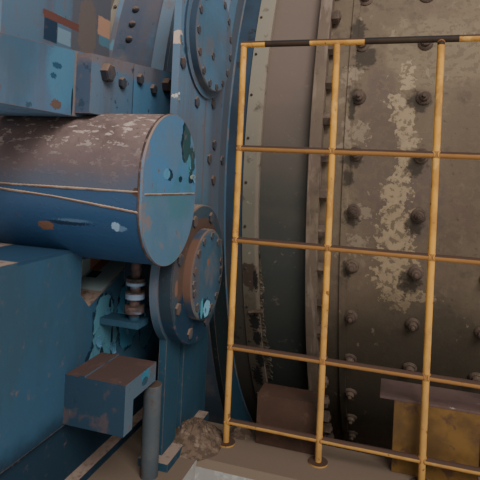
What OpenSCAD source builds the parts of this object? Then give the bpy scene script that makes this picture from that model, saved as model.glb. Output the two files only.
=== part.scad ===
// Drive end of a ball mill: the end of the turning shell with its flange and running
// bands, the round guard it turns in, the blue pinion frame with its bearing housings,
// the trunnion bearing, the tube fence and the concrete that carries them.
// X runs along the mill axis, the frame stands on the -Y side, and Z = 0 is ground level.

/* [Mill] */
// Height of the guard's lowest point above the ground
under_guard = 600; // [500:10:800]
// Outer radius of the shell plate
shell_r = 2700; // [2640:1:2710]
// Thickness of the shell plate
shell_t = 60; // [30:1:90]
// Distance that the shell runs past the guard's left face
shell_past = 460; // [400:1:600]
// Distance from the frame's face to the face of the end flange
shell_right = 3400; // [3300:10:4200]
// Thickness of a liner plate
liner_t = 80; // [40:1:110]
// Height of a lifter bar above the liner plate
lifter_h = 60; // [30:1:90]
// Width of a lifter bar
lifter_w = 110; // [60:1:150]
// Number of lifter bars round the shell
lifter_count = 36; // [12:1:48]
// Thickness of the smooth running band
band_t = 22; // [12:1:30]
// Distance from the frame's face to the bolted joint of the shell
joint_x = 546; // [500:1:700]
// Thickness of one flange of the bolted joint
joint_t = 36; // [20:1:50]
// Height of the joint flanges above the shell
joint_h = 100; // [60:1:160]
// Distance from the bolted joint to the butt strap
strap_gap = 129; // [80:1:300]
// Width of the butt strap
strap_w = 42; // [20:1:60]
// Thickness of the butt strap
strap_t = 12; // [6:1:20]
// Thickness of the end flange
end_flange_t = 60; // [40:1:90]
// Number of fitted bolts in the end flange
end_bolts = 12; // [6:1:24]
// Radius of a fitted bolt hole
end_bolt_r = 28; // [15:1:35]
// Thickness of the mill head at its rim
head_t = 90; // [50:1:120]
// Height of the hub above the rim of the mill head
hub_rise = 150; // [100:1:200]
// Width of the hub's foot beyond the trunnion
hub_foot = 320; // [300:1:400]
// Width of the hub's nose beyond the trunnion
hub_nose = 240; // [200:1:280]
// Number of ribs on the mill head
head_ribs = 12; // [4:1:20]
// Thickness of a rib on the mill head
head_rib_t = 50; // [30:1:80]
// Gap between a rib's end and the rim of the mill head
head_rib_gap = 260; // [150:1:500]
// Outer radius of the trunnion
trunnion_r = 800; // [700:1:820]
// Radius of the hole through the trunnion
trunnion_bore_r = 560; // [400:1:600]
// Width of the trunnion's flange beyond its journal
trunnion_lip = 180; // [120:1:190]
// Thickness of the trunnion's flange
trunnion_flange_t = 70; // [40:1:90]
// Size of the slope between the flange and the journal
trunnion_slope = 50; // [20:1:80]
// Height of the collar at the trunnion's end
collar_h = 40; // [20:1:60]
// Width of the collar at the trunnion's end
collar_w = 90; // [50:1:120]

/* [Guard] */
// Width of the guard between its outer faces
guard_w = 820; // [760:1:900]
// Depth of the guard from its inner to its outer wall
guard_depth = 260; // [220:1:300]
// Facets of a large round cut into a flat plate
fine_fn = 360; // [288:72:720]
// Radial gap between the shell and the guard
guard_gap = 40; // [30:1:60]
// Thickness of a side plate
side_t = 40; // [20:1:60]
// Width of the hoop round the middle of the guard
hoop_w = 90; // [40:1:100]
// Height of the hoop above the guard
hoop_h = 40; // [20:1:60]
// Size of a lifting lug on the guard
lug_size = 160; // [100:1:200]
// Thickness of a lifting lug
lug_plate_t = 50; // [30:1:70]
// Radius of the hole in a lifting lug
lug_hole_r = 35; // [20:1:40]
// Angle between a lifting lug and the top of the guard
lug_angle = 25; // [15:1:40]
// Height of the flange where the two guard halves meet
split_h = 90; // [60:1:120]
// Thickness of one half of that flange
split_t = 25; // [15:1:40]
// Width of the neck that stands out of a side plate
neck_w = 124; // [60:1:150]
// Thickness of the neck
neck_t = 25; // [10:1:40]
// Width of the clamp band that holds the seal
clamp_w = 106; // [60:1:130]
// Thickness of the clamp band
clamp_t = 34; // [20:1:50]
// Running gap between the seal and the running band
seal_gap = 8; // [6:1:15]

/* [Pinion frame] */
// Distance that the legs' back edge lies inside the guard's rim
leg_in = 50; // [30:1:80]
// Width of the slot between the legs
leg_slot_w = 60; // [30:1:80]
// Width that the side plate shows round the lower housing
lobe = 15; // [8:1:25]
// Distance of the right side plate's front edge from the guard's rim
side_out = 550; // [520:1:600]
// Distance of the left side plate's front edge from the guard's rim
left_out = 900; // [800:1:1000]
// Height of the side plate's top above the mill axis
side_top = 1250; // [1100:1:1500]
// Distance from the frame's face to the right frame plate
frame_x = 300; // [260:1:320]
// Distance from the guard's left face to the left frame plate
frame_left_in = 100; // [60:1:130]
// Thickness of a frame plate
frame_t = 25; // [15:1:40]
// Distance of a frame plate's front edge from the guard's rim
frame_out = 1600; // [1500:1:1620]
// Height of the frame plate's front corner above the mill axis
frame_top = 420; // [400:1:450]
// Rise of the frame's top from its front edge to the guard
frame_rise = 146; // [60:1:160]
// Height of the slot's top above the mill axis
slot_top = 190; // [150:1:210]
// Depth of the slot's floor below the mill axis
slot_floor = 400; // [380:1:430]
// Depth of the frame plate's bottom below the mill axis
frame_bottom = 1180; // [1150:1:1250]
// Lip that the frame plates stand out from the housing between them
lip = 50; // [20:1:80]
// Distance of the window's front edge from the guard's rim
window_out = 860; // [840:1:880]
// Depth of the window's foot below the mill axis
window_foot = 690; // [660:1:710]
// Width of the window
window_w = 480; // [300:1:500]
// Height of the window's front edge
window_h = 360; // [300:1:400]
// Rise of the window's foot towards the mill
window_rise = 150; // [80:1:200]
// Size of the window's cut corner
window_corner = 70; // [30:1:100]
// Depth of the recess behind the window
window_depth = 160; // [60:1:250]
// Distance of the bolted pad's front edge from the guard's rim
pad_out = 970; // [950:1:990]
// Width of the bolted pad
pad_w = 855; // [700:1:860]
// Height of the bolted pad's foot above the mill axis
pad_foot = 205; // [195:1:215]
// Radius of the bolted pad's round corner
pad_corner = 40; // [20:1:60]
// Thickness of the bolted pad on the frame plate
pad_t = 76; // [50:1:110]
// Distance of the bolted pad's top below the frame plate's top
pad_drop = 12; // [5:1:30]
// Width of the cross beam
beam_w = 560; // [500:1:580]
// Height of the cross beam
beam_h = 676; // [640:1:720]
// Distance of the cross beam's middle from the guard's rim
beam_mid = 790; // [780:1:810]
// Depth of the cross beam's middle below the mill axis
beam_drop = 117; // [90:1:130]
// Distance that the cross beam stands out beyond the frame's face
beam_out = 100; // [60:1:140]
// Thickness of the cross beam's end cap
beam_cap_t = 14; // [8:1:25]
// Thickness of a foot plate on the plinth
foot_plate_t = 40; // [20:1:50]
// Distance that a foot plate stands out of what it carries
foot_plate_out = 60; // [40:1:90]
// Size of the cut along a round cover's rim
rim_cut = 6; // [3:1:10]

/* [Pinion bearings] */
// Distance of the lower bearing from the guard's rim
low_out = 307; // [295:1:315]
// Depth of the lower bearing below the mill axis
low_drop = 585; // [570:1:600]
// Radius of the lower housing flange
low_flange_r = 370; // [340:1:380]
// Distance that the lower housing flange stands out
low_flange_out = 70; // [40:1:90]
// Radius of the lower cover
low_cover_r = 242; // [200:1:260]
// Thickness of the lower cover
low_cover_t = 46; // [20:1:60]
// Distance of the upper bearing from the guard's rim
high_out = 185; // [175:1:195]
// Height of the upper bearing above the mill axis
high_up = 712; // [700:1:725]
// Radius of the upper housing ring
high_ring_r = 330; // [310:1:340]
// Thickness of the upper housing ring
high_ring_t = 12; // [8:1:20]
// Radius of the upper cover
high_cover_r = 292; // [260:1:300]
// Thickness of the upper cover
high_cover_t = 42; // [20:1:60]
// Radius of a shaft sleeve behind the side plate
sleeve_r = 160; // [120:1:200]
// Length of the upper sleeve, which ends short of the frame plates
high_sleeve_l = 60; // [30:1:120]

/* [Bracket and small pieces] */
// Width of the bracket across the frame
bracket_w = 290; // [200:1:320]
// Distance of the bracket's front edge from the guard's rim
bracket_out = 950; // [900:1:960]
// Depth of the bracket's top below the mill axis
bracket_drop = 950; // [930:1:1000]
// Height of the bracket's front plate
bracket_h = 220; // [150:1:260]
// Height of the bracket's side flange
bracket_flange_h = 90; // [60:1:120]
// Width of the bracket's front corner, which reaches down as far as the front plate
bracket_corner_w = 75; // [40:1:100]
// Thickness of the bracket's top
bracket_t = 30; // [15:1:40]
// Thickness of the bracket's sides
bracket_side_t = 14; // [8:1:25]
// Width of the strip welded on the bracket's top
strip_w = 24; // [10:1:40]
// Height of the strip welded on the bracket's top
strip_h = 8; // [4:1:15]
// Distance from the frame plate to that strip
strip_gap = 75; // [40:1:120]
// Distance from the frame's face to the adjusting screw
screw_x = 140; // [120:1:180]
// Distance of the adjusting screw from the guard's rim
screw_out = 640; // [620:1:680]
// Depth of the lug under the screw below the mill axis
screw_drop = 770; // [740:1:800]
// Thickness of the lug under the screw
lug_t = 30; // [15:1:40]
// Thickness of a collar on the screw
collar_t = 34; // [20:1:40]
// Distance that a collar stands out of the rod
collar_out = 22; // [10:1:30]
// Number of collars on the screw
collar_count = 3; // [1:1:3]
// Radius of the adjusting screw's rod
screw_r = 26; // [15:1:35]
// Distance from the frame's face to the stub post
stub_x = 13; // [5:1:40]
// Gap between the stub post and the foot plate beside it
stub_gap = 6; // [3:1:30]
// Radius of the stub post
stub_r = 43; // [20:1:45]
// Gap between the stub post and the bracket over it
stub_clear = 20; // [10:1:60]

/* [Trunnion bearing] */
// Gap between the hub of the mill head and the bearing
hub_gap = 280; // [220:1:350]
// Width of the bearing along the axis
bearing_w = 600; // [400:1:650]
// Gap between the trunnion and the bearing cap
bearing_gap = 6; // [5:1:10]
// Radius of the bearing cap
bearing_cap_r = 1100; // [1000:1:1200]
// Height of the bearing base below the axis
bearing_base_h = 1250; // [1200:1:1300]
// Half the length of the plinth under the bearing
bearing_half = 1280; // [1250:1:1400]
// Distance that the trunnion runs past the bearing
trunnion_over = 220; // [180:1:300]
// Distance that a rib stands out of the bearing
bearing_rib_out = 60; // [40:1:80]
// Thickness of a rib on the bearing
bearing_rib_t = 50; // [30:1:70]
// Distance of the outer ribs from the bearing's middle
bearing_rib_y = 900; // [860:1:940]
// Distance that the plinth runs past the bearing
plinth_over = 150; // [120:1:180]
// Distance that the bearing's foot stands out
foot_out = 80; // [40:1:100]
// Thickness of the bearing's foot
foot_h = 120; // [60:1:160]

/* [Fence] */
// Radius of a fence tube
tube_r = 17; // [12:1:25]
// Distance of the fence from the shell
fence_out = 550; // [520:1:570]
// Radius of the round foot under a fence post
post_foot_r = 50; // [30:1:60]
// Thickness of the round foot under a fence post
post_foot_t = 8; // [5:1:12]
// Distance from the frame's face to the first post
fence_x = 240; // [200:1:260]
// Distance between two posts
bay = 500; // [400:1:500]
// Number of bays in one panel
panel_bays = 3; // [1:1:3]
// Height of the walkway's first rail
rail_1 = 120; // [80:1:200]
// Height of the second rail above the walkway
rail_2 = 524; // [450:1:600]
// Height of the third rail above the walkway
rail_3 = 1105; // [1000:1:1200]
// Height of the fourth rail above the walkway
rail_4 = 1602; // [1500:1:1700]
// Height of the top rail above the walkway
rail_5 = 2165; // [2050:1:2300]
// Gap between a post's foot and what stands behind it
fence_gap = 10; // [5:1:40]
// Length that a rail runs past its end post
rail_over = 12; // [5:1:30]

/* [Foundations] */
// Distance from a side face to the feet of the guard
foot_in = 200; // [150:1:250]
// Half the length of the saddle under the guard
saddle_half = 900; // [600:1:1000]
// Height that the saddle reaches up round the guard
saddle_grip = 200; // [160:1:240]
// Height of the bracket at the rear of the guard
rear_foot_h = 420; // [300:1:500]
// Thickness of a web of the rear bracket
rear_web_t = 40; // [20:1:60]
// Number of webs of the rear bracket
rear_webs = 4; // [2:1:6]
// Thickness of the raft
raft_t = 300; // [200:10:400]
// Depth of the walkway below the mill axis
walk_drop = 1500; // [1480:1:1520]
// Gap between the guard's rim and the plinths' inner faces
pit_gap = 40; // [30:1:60]
// Width of the front plinth
front_w = 1640; // [1620:1:1750]
// Size of the cut along a plinth's upper edges
plinth_cut = 30; // [10:1:50]
// Width of the rear plinth
rear_w = 500; // [300:1:700]
// Width of the wall under the fence
wall_w = 420; // [350:1:500]
// Distance that the plinths run past the left side plate
plinth_end = 250; // [200:1:300]
// Distance that the front plinth runs past the frame's face
plinth_right = 150; // [120:1:160]
// Distance from the frame's face to the kerb block
kerb_x = 390; // [300:1:500]
// Length of the kerb block by the running band
kerb_l = 330; // [250:1:360]
// Height of the kerb block
kerb_h = 270; // [150:1:300]
// Distance from the frame's face to the yellow box
box_x = 1100; // [1000:1:1300]
// Distance that the tread plate runs past the yellow box
tread_over = 70; // [20:1:120]
// Length of the yellow box beside the shell
box_l = 400; // [300:1:500]
// Height of the yellow box
box_h = 360; // [200:1:400]
// Thickness of the tread plate on the yellow box
tread_t = 15; // [8:1:20]

/* [Hidden] */
$fn = 144;
// Gap between two round faces that seat on each other
seat = 0.3;
// Cut that runs clear through a plate on both sides
past = 5;

left_face = -guard_w;
guard_in_r = shell_r + guard_gap;
guard_r = guard_in_r + guard_depth;
axis_z = guard_r + under_guard;
band_r = shell_r + band_t;
neck_in_r = band_r + seal_gap;
flange_r = shell_r + joint_h;
head_x = left_face - shell_past;
bore_r = shell_r - shell_t;
liner_in_r = bore_r - seat - liner_t;
strap_x = joint_x + 2 * joint_t + strap_gap;
walk_z = axis_z - walk_drop;
hoop_x = (left_face - hoop_w) / 2;
head_rise = head_t + hub_rise;
hub_x = head_x - head_rise;
bearing_x = hub_x - hub_gap;
bearing_left = bearing_x - bearing_w;
trunnion_len = hub_gap + bearing_w + trunnion_over;
beam_y = guard_r + beam_mid;
beam_end_r = beam_w / 2;
beam_flat = beam_h - beam_w;
low_y = guard_r + low_out;
high_y = guard_r + high_out;
frame_front = guard_r + frame_out;
house_right = -frame_x - frame_t;
house_left = left_face + frame_left_in + frame_t;
pad_left = guard_r + pad_out;
pad_right = pad_left - pad_w;
bracket_front = guard_r + bracket_out;
screw_y = guard_r + screw_out;
screw_z = axis_z - screw_drop;
stub_y = guard_r + side_out + foot_plate_out + stub_gap + stub_r;
stub_h = walk_drop - bracket_drop - bracket_flange_h - stub_clear;
fence_y = shell_r + fence_out;
fence_back = -fence_y + post_foot_r + fence_gap;
pit_y = guard_r + pit_gap;
plinth_left = left_face - plinth_end;

// Ring round the mill axis between two places along it
module mill_ring(x0, x1, r_out, r_in) {
    translate([x0, 0, axis_z]) rotate([0, 90, 0])
        linear_extrude(x1 - x0) difference() {
            circle(r_out);
            circle(r_in);
        }
}

// Solid round the mill axis, used to cut clear of it
module mill_round(x0, x1, r) {
    translate([x0, 0, axis_z]) rotate([0, 90, 0]) cylinder(h = x1 - x0, r = r);
}

// Outline in Y and Z, seen along the mill axis, made a plate between two places
module plate_x(x0, x1) {
    translate([x0, 0, axis_z]) rotate([90, 0, 90]) linear_extrude(x1 - x0) children();
}

// Box from its low corner to its high corner
module block(low, high) {
    translate(low) cube(high - low);
}

// Outline of the cross beam: two half rounds joined by a flat strip
module beam_outline(grow) {
    translate([-beam_y, -beam_drop]) {
        translate([0, beam_flat / 2]) circle(beam_end_r + grow);
        translate([0, -beam_flat / 2]) circle(beam_end_r + grow);
        square([beam_w + 2 * grow, beam_flat], center = true);
    }
}

// Concrete block along the mill axis with its two upper edges cut
module plinth(x0, x1, y0, y1, top) {
    translate([x0, 0, raft_t]) rotate([90, 0, 90]) linear_extrude(x1 - x0)
        polygon([
            [y0, 0], [y1, 0], [y1, top - raft_t - plinth_cut], [y1 - plinth_cut, top - raft_t],
            [y0 + plinth_cut, top - raft_t], [y0, top - raft_t - plinth_cut]
        ]);
}

module raft() {
    color("silver") {
        block([head_x - head_rise, -pit_y - wall_w, 0], [shell_right, flange_r, raft_t]);
        block([bearing_left - plinth_over, -bearing_half, 0],
            [head_x - head_rise, bearing_half, raft_t]);
        block([plinth_left, -pit_y - front_w, 0], [plinth_right, -pit_y - wall_w, raft_t]);
        block([plinth_left, flange_r, 0], [plinth_right, pit_y + rear_w, raft_t]);
    }
}

module front_plinth() {
    color("silver") plinth(plinth_left, plinth_right, -pit_y - front_w, -pit_y, walk_z);
}

module rear_plinth() {
    color("silver") plinth(plinth_left, plinth_right, pit_y, pit_y + rear_w, walk_z);
}

module fence_wall() {
    color("silver") plinth(plinth_right, shell_right, -pit_y - wall_w, -pit_y, walk_z);
}

module bearing_plinth() {
    color("silver") plinth(bearing_left - plinth_over, bearing_x + plinth_over,
        -bearing_half, bearing_half, axis_z - bearing_base_h);
}

module guard_saddle() {
    color("silver") difference() {
        block([left_face + foot_in, -saddle_half, raft_t],
            [-foot_in, saddle_half, axis_z - guard_r + saddle_grip]);
        guard_clear();
    }
}

// Space that the guard takes, with its hoop, for what seats round it
module guard_clear() {
    mill_round(left_face, 0, guard_r + seat);
    mill_round(hoop_x - seat, hoop_x + hoop_w + seat, guard_r + hoop_h + seat);
}

// Lug with a hole, standing on the hoop at an angle from the guard's top
module lifting_lug(angle) {
    translate([hoop_x + (hoop_w - lug_plate_t) / 2, 0, axis_z]) rotate([angle, 0, 0])
        translate([0, 0, guard_r + hoop_h / 2]) rotate([90, 0, 90])
        linear_extrude(lug_plate_t) difference() {
            union() {
                translate([-lug_size / 2, 0]) square([lug_size, lug_size / 2 + hoop_h]);
                translate([0, lug_size / 2 + hoop_h]) circle(lug_size / 2);
            }
            translate([0, lug_size / 2 + hoop_h]) circle(lug_hole_r);
        }
}

// One half of the guard: a ring with its hoop and the flanges where the halves meet
module guard_half(low_z) {
    x0 = left_face + side_t;
    x1 = -side_t;
    color("steelblue") intersection() {
        union() {
            mill_ring(x0, x1, guard_r, guard_in_r);
            mill_ring(hoop_x, hoop_x + hoop_w, guard_r + hoop_h, guard_in_r);
            for (angle = [-lug_angle, lug_angle])
                lifting_lug(angle);
            for (turn = [0, 1])
                mirror([0, turn, 0])
                    block([x0, guard_in_r, axis_z - split_t],
                        [x1, guard_r + split_h, axis_z + split_t]);
        }
        block([x0, -2 * guard_r, low_z], [x1, 2 * guard_r, low_z + 2 * guard_r]);
    }
}

module guard_upper() {
    guard_half(axis_z);
}

module guard_lower() {
    guard_half(axis_z - 2 * guard_r);
}

// Outline of a side plate: the ring, the flat front that carries the bearings and a
// round lobe for the lower housing, with a slot between its two legs
module side_outline(out) {
    difference() {
        union() {
            circle(guard_r);
            translate([-guard_r - out, -walk_drop])
                square([out + leg_in, walk_drop + side_top]);
            translate([-low_y, -low_drop]) circle(low_flange_r + lobe);
        }
        circle(guard_in_r);
        beam_outline(seat);
        translate([-low_y - leg_slot_w - lobe, -walk_drop - past])
            square([leg_slot_w, walk_drop + past - low_drop - low_flange_r]);
    }
}

// Foot plate under a side plate's legs, clear of the concrete's inner edge
module leg_foot(x0, x1, out) {
    block([x0, -guard_r - out - foot_plate_out, walk_z], [x1, -pit_y, walk_z + foot_plate_t]);
}

module side_plate_right() {
    color("steelblue") {
        plate_x(-side_t, 0) side_outline(side_out);
        leg_foot(-side_t - foot_plate_out, foot_plate_out, side_out);
    }
}

module side_plate_left() {
    color("steelblue") {
        plate_x(left_face, left_face + side_t) side_outline(left_out);
        leg_foot(left_face - foot_plate_out, left_face + side_t, left_out);
    }
}

// Necks that stand out of the two side plates, and the bands that clamp their seals
module guard_necks() {
    color("midnightblue")
        for (x = [left_face - neck_w, 0])
            mill_ring(x, x + neck_w, neck_in_r + neck_t, neck_in_r);
}

module seal_clamps() {
    color("darkseagreen")
        for (x = [left_face - neck_w - clamp_w, neck_w])
            mill_ring(x, x + clamp_w, neck_in_r + clamp_t, neck_in_r);
}

// Bracket at the rear of the guard: a foot plate on the plinth and sloping webs
module rear_bracket() {
    web_room = guard_w - 2 * foot_in - rear_web_t;
    color("steelblue") difference() {
        union() {
            block([left_face + foot_in, 0, walk_z],
                [-foot_in, pit_y + rear_w / 2, walk_z + foot_plate_t]);
            for (i = [0 : rear_webs - 1])
                plate_x(left_face + foot_in + i * web_room / (rear_webs - 1),
                    left_face + foot_in + i * web_room / (rear_webs - 1) + rear_web_t)
                    polygon([
                        [0, -walk_drop], [pit_y + rear_w / 2, -walk_drop],
                        [pit_y + rear_w / 2, foot_plate_t * 2 - walk_drop],
                        [guard_r - leg_in, rear_foot_h - walk_drop], [0, rear_foot_h - walk_drop]
                    ]);
        }
        guard_clear();
    }
}

// Height of the frame's sloping top at a distance from the mill axis
function top_at(out) = frame_top + frame_rise * (frame_front - out) / (frame_out + leg_in);

// Outline of the frame from its foot to its sloping top, drawn back by an inset
module sloping_outline(inset, foot) {
    polygon([
        [inset - frame_front, -foot], [leg_in - guard_r, -foot],
        [leg_in - guard_r, top_at(guard_r - leg_in) - inset],
        [inset - frame_front, top_at(frame_front - inset) - inset]
    ]);
}

// Outline of the slot, open to the front, that the cross beam lies in
module slot_outline() {
    translate([-frame_front - past, -slot_floor])
        square([frame_front + past - beam_y, slot_floor + slot_top]);
}

// Outline of a frame plate: cut to the guard's round and to the beam's slot
module frame_outline() {
    difference() {
        sloping_outline(0, frame_bottom);
        circle(guard_r + seat, $fn = fine_fn);
        split_clear();
        beam_outline(seat);
        slot_outline();
    }
}

// Outline of the space that the flanges between the guard halves take on the frame's side
module split_clear() {
    translate([-guard_r - split_h - seat, -split_t - seat])
        square([split_h + past, 2 * (split_t + seat)]);
}

// Outline of the window under the cross beam, with one corner cut off
module window_outline() {
    translate([-guard_r - window_out, -window_foot])
        polygon([
            [0, window_corner], [window_corner, 0], [window_w, window_rise],
            [window_w, window_h], [0, window_h]
        ]);
}

module frame_plate_right() {
    color("steelblue") plate_x(house_right, -frame_x) difference() {
        frame_outline();
        window_outline();
    }
}

module frame_plate_left() {
    color("steelblue") plate_x(house_left - frame_t, house_left) frame_outline();
}

module pinion_housing() {
    color("steelblue") difference() {
        union() {
            plate_x(house_left, house_right) difference() {
                sloping_outline(lip, walk_drop);
                split_clear();
                beam_outline(seat);
                slot_outline();
            }
            block([house_left - foot_plate_out, lip - frame_front - foot_plate_out, walk_z],
                [house_right + foot_plate_out, -pit_y, walk_z + foot_plate_t]);
        }
        guard_clear();
        plate_x(house_right - window_depth, house_right + past) window_outline();
    }
}

module bolted_pad() {
    color("steelblue") plate_x(-frame_x, -frame_x + pad_t) difference() {
        polygon([
            [-pad_left, pad_foot], [-pad_right, pad_foot],
            for (a = [0 : 30 : 90]) [
                pad_corner * (cos(a) - 1) - pad_right,
                top_at(pad_right + pad_corner * (1 - cos(a))) - pad_drop + pad_corner * (sin(a) - 1)
            ],
            [-pad_left, top_at(pad_left) - pad_drop]
        ]);
        beam_outline(seat);
        circle(guard_r + seat);
    }
}

// Cross beam
module cross_beam() {
    color("rosybrown") plate_x(left_face - beam_out + beam_cap_t, beam_out - beam_cap_t)
        beam_outline(0);
}

module beam_caps() {
    color("steelblue")
        for (x = [left_face - beam_out, beam_out - beam_cap_t])
            plate_x(x, x + beam_cap_t) beam_outline(0);
}

// Round piece on the frame's face, about one bearing's own axis
module bearing_round(y, z, x0, x1, r) {
    translate([x0, -y, axis_z + z]) rotate([0, 90, 0]) cylinder(h = x1 - x0, r = r);
}

// The same with its right rim cut
module bearing_disc(y, z, x0, x1, r) {
    translate([x0, -y, axis_z + z]) rotate([0, 90, 0]) rotate_extrude()
        polygon([[0, 0], [r, 0], [r, x1 - x0 - rim_cut], [r - rim_cut, x1 - x0], [0, x1 - x0]]);
}

module lower_housing() {
    color("steelblue") difference() {
        bearing_disc(low_y, -low_drop, 0, low_flange_out, low_flange_r);
        plate_x(-past, beam_out + past) beam_outline(seat);
    }
}

module lower_cover() {
    color("steelblue") bearing_disc(low_y, -low_drop, low_flange_out,
        low_flange_out + low_cover_t, low_cover_r);
}

module upper_housing() {
    color("steelblue") bearing_round(high_y, high_up, 0, high_ring_t, high_ring_r);
}

module upper_cover() {
    color("steelblue") bearing_disc(high_y, high_up, high_ring_t,
        high_ring_t + high_cover_t, high_cover_r);
}

module lower_sleeve() {
    color("slategray") bearing_round(low_y, -low_drop, -frame_x, -side_t, sleeve_r);
}

module upper_sleeve() {
    color("slategray") bearing_round(high_y, high_up, -side_t - high_sleeve_l, -side_t, sleeve_r);
}

// Small pieces in front of the frame
module support_bracket() {
    top = axis_z - bracket_drop;
    low = top - bracket_h;
    back = bracket_w - bracket_front;
    color("sienna") {
        difference() {
            block([-frame_x, -bracket_front, low], [0, back, top]);
            block([-frame_x - past, bracket_side_t - bracket_front, low - past],
                [-bracket_side_t, back + past, top - bracket_t]);
            block([-bracket_side_t - past, bracket_corner_w - bracket_front, low - past],
                [past, back + past, top - bracket_flange_h]);
        }
        block([strip_gap - frame_x, -bracket_front, top],
            [strip_gap + strip_w - frame_x, back, top + strip_h]);
    }
}

module adjusting_screw() {
    color("saddlebrown") difference() {
        union() {
            block([-frame_x, -screw_y - 2 * screw_r, screw_z - lug_t],
                [2 * screw_r - screw_x, 2 * screw_r - screw_y, screw_z]);
            translate([-screw_x, -screw_y, screw_z])
                cylinder(h = screw_drop - beam_drop, r = screw_r);
            for (i = [0 : collar_count - 1])
                translate([-screw_x, -screw_y, screw_z + (2 * i + 1) * collar_t])
                    cylinder(h = collar_t, r = screw_r + collar_out);
        }
        plate_x(-2 * screw_x, past) beam_outline(seat);
    }
}

module stub_post() {
    color("slategray") translate([-stub_x, -stub_y, walk_z]) cylinder(h = stub_h, r = stub_r);
}

module kerb_block() {
    color("sienna") block([kerb_x, fence_back, walk_z], [kerb_x + kerb_l, -pit_y, walk_z + kerb_h]);
}

module yellow_box() {
    color("goldenrod") block([box_x, fence_back, walk_z], [box_x + box_l, -pit_y, walk_z + box_h]);
}

module tread_plate() {
    color("rosybrown") block([box_x - tread_over, fence_back, walk_z + box_h],
        [box_x + box_l + tread_over, tread_over - pit_y, walk_z + box_h + tread_t]);
}

// Fence panel: posts at the given places and five rails between two ends
module fence_panel(posts, x0, x1) {
    color("goldenrod") {
        for (x = posts)
            translate([x, -fence_y, walk_z]) {
                cylinder(h = rail_5, r = tube_r);
                cylinder(h = post_foot_t, r = post_foot_r);
            }
        for (z = [rail_1, rail_2, rail_3, rail_4, rail_5])
            translate([x0, -fence_y, walk_z + z]) rotate([0, 90, 0])
                cylinder(h = x1 - x0, r = tube_r);
    }
}

module fence_panel_1() {
    fence_panel([for (i = [0 : panel_bays]) fence_x + i * bay],
        fence_x - rail_over, fence_x + panel_bays * bay);
}

module fence_panel_2() {
    fence_panel([for (i = [panel_bays + 1 : 2 * panel_bays]) fence_x + i * bay],
        fence_x + panel_bays * bay + tube_r + seat, fence_x + 2 * panel_bays * bay + rail_over);
}

// Trunnion bearing: a ribbed pedestal with a foot, and its cap
module bearing_base() {
    foot_z = axis_z - bearing_base_h;
    color("slategray") difference() {
        union() {
            block([bearing_left + bearing_rib_out, -bearing_cap_r, foot_z],
                [bearing_x - bearing_rib_out, bearing_cap_r, axis_z]);
            block([bearing_left, -bearing_cap_r, axis_z - foot_h],
                [bearing_x, bearing_cap_r, axis_z]);
            for (y = [-bearing_rib_y, 0, bearing_rib_y])
                block([bearing_left, y - bearing_rib_t / 2, foot_z],
                    [bearing_x, y + bearing_rib_t / 2, axis_z]);
            mill_round(bearing_left, bearing_x, trunnion_r + foot_h);
            block([bearing_left - foot_out, -bearing_half + foot_out, foot_z],
                [foot_out + bearing_x, bearing_half - foot_out, foot_z + foot_h]);
        }
        mill_round(bearing_left - past, past + bearing_x, trunnion_r + seat);
        block([bearing_left - past, -bearing_cap_r, axis_z],
            [bearing_x + past, bearing_cap_r, axis_z + bearing_cap_r]);
    }
}

module bearing_cap() {
    color("slategray") intersection() {
        union() {
            mill_ring(bearing_left + bearing_rib_out, bearing_x - bearing_rib_out, bearing_cap_r,
                trunnion_r + bearing_gap);
            for (x = [bearing_left, bearing_x - bearing_rib_t])
                mill_ring(x, x + bearing_rib_t, bearing_cap_r - bearing_rib_out,
                    trunnion_r + bearing_gap);
            for (turn = [0, 1])
                mirror([0, turn, 0])
                    block([bearing_left, trunnion_r + foot_out, axis_z],
                        [bearing_x, bearing_cap_r, axis_z + foot_h]);
        }
        block([bearing_left, -2 * bearing_cap_r, axis_z],
            [bearing_x, 2 * bearing_cap_r, axis_z + 2 * bearing_cap_r]);
    }
}

// Turning mill
module mill_shell() {
    color("dimgray") mill_ring(head_x, shell_right - end_flange_t, shell_r, bore_r);
}

// Liner plates as one ring with its lifter bars
module shell_liners() {
    color("gray") translate([head_x, 0, axis_z]) rotate([0, 90, 0])
        linear_extrude(shell_right - end_flange_t - head_x) {
            difference() {
                circle(bore_r - seat);
                circle(liner_in_r);
            }
            for (i = [0 : lifter_count - 1])
                rotate(i * 360 / lifter_count)
                    translate([liner_in_r - lifter_h, -lifter_w / 2])
                    square([lifter_h + liner_t / 2, lifter_w]);
        }
}

// Head of the mill: a cone from its rim to its hub, with ribs between them
module mill_head() {
    foot_r = trunnion_r + hub_foot;
    nose_r = trunnion_r + hub_nose;
    color("dimgray") translate([head_x, 0, axis_z]) rotate([0, -90, 0]) {
        rotate_extrude() polygon([
            [trunnion_bore_r, 0], [band_r, 0], [band_r, head_t], [foot_r, head_rise / 2 + hub_rise / 4],
            [nose_r, head_rise], [trunnion_bore_r, head_rise]
        ]);
        for (i = [0 : head_ribs - 1])
            rotate(i * 360 / head_ribs) rotate([90, 0, 0])
                translate([0, 0, -head_rib_t / 2]) linear_extrude(head_rib_t)
                polygon([
                    [nose_r - past, head_t / 2], [band_r - head_rib_gap, head_t / 2],
                    [band_r - head_rib_gap, head_t], [nose_r - past, head_rise]
                ]);
    }
}

module head_liners() {
    color("gray") mill_ring(head_x, head_x + liner_t, liner_in_r - lifter_h - seat, trunnion_bore_r);
}

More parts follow.
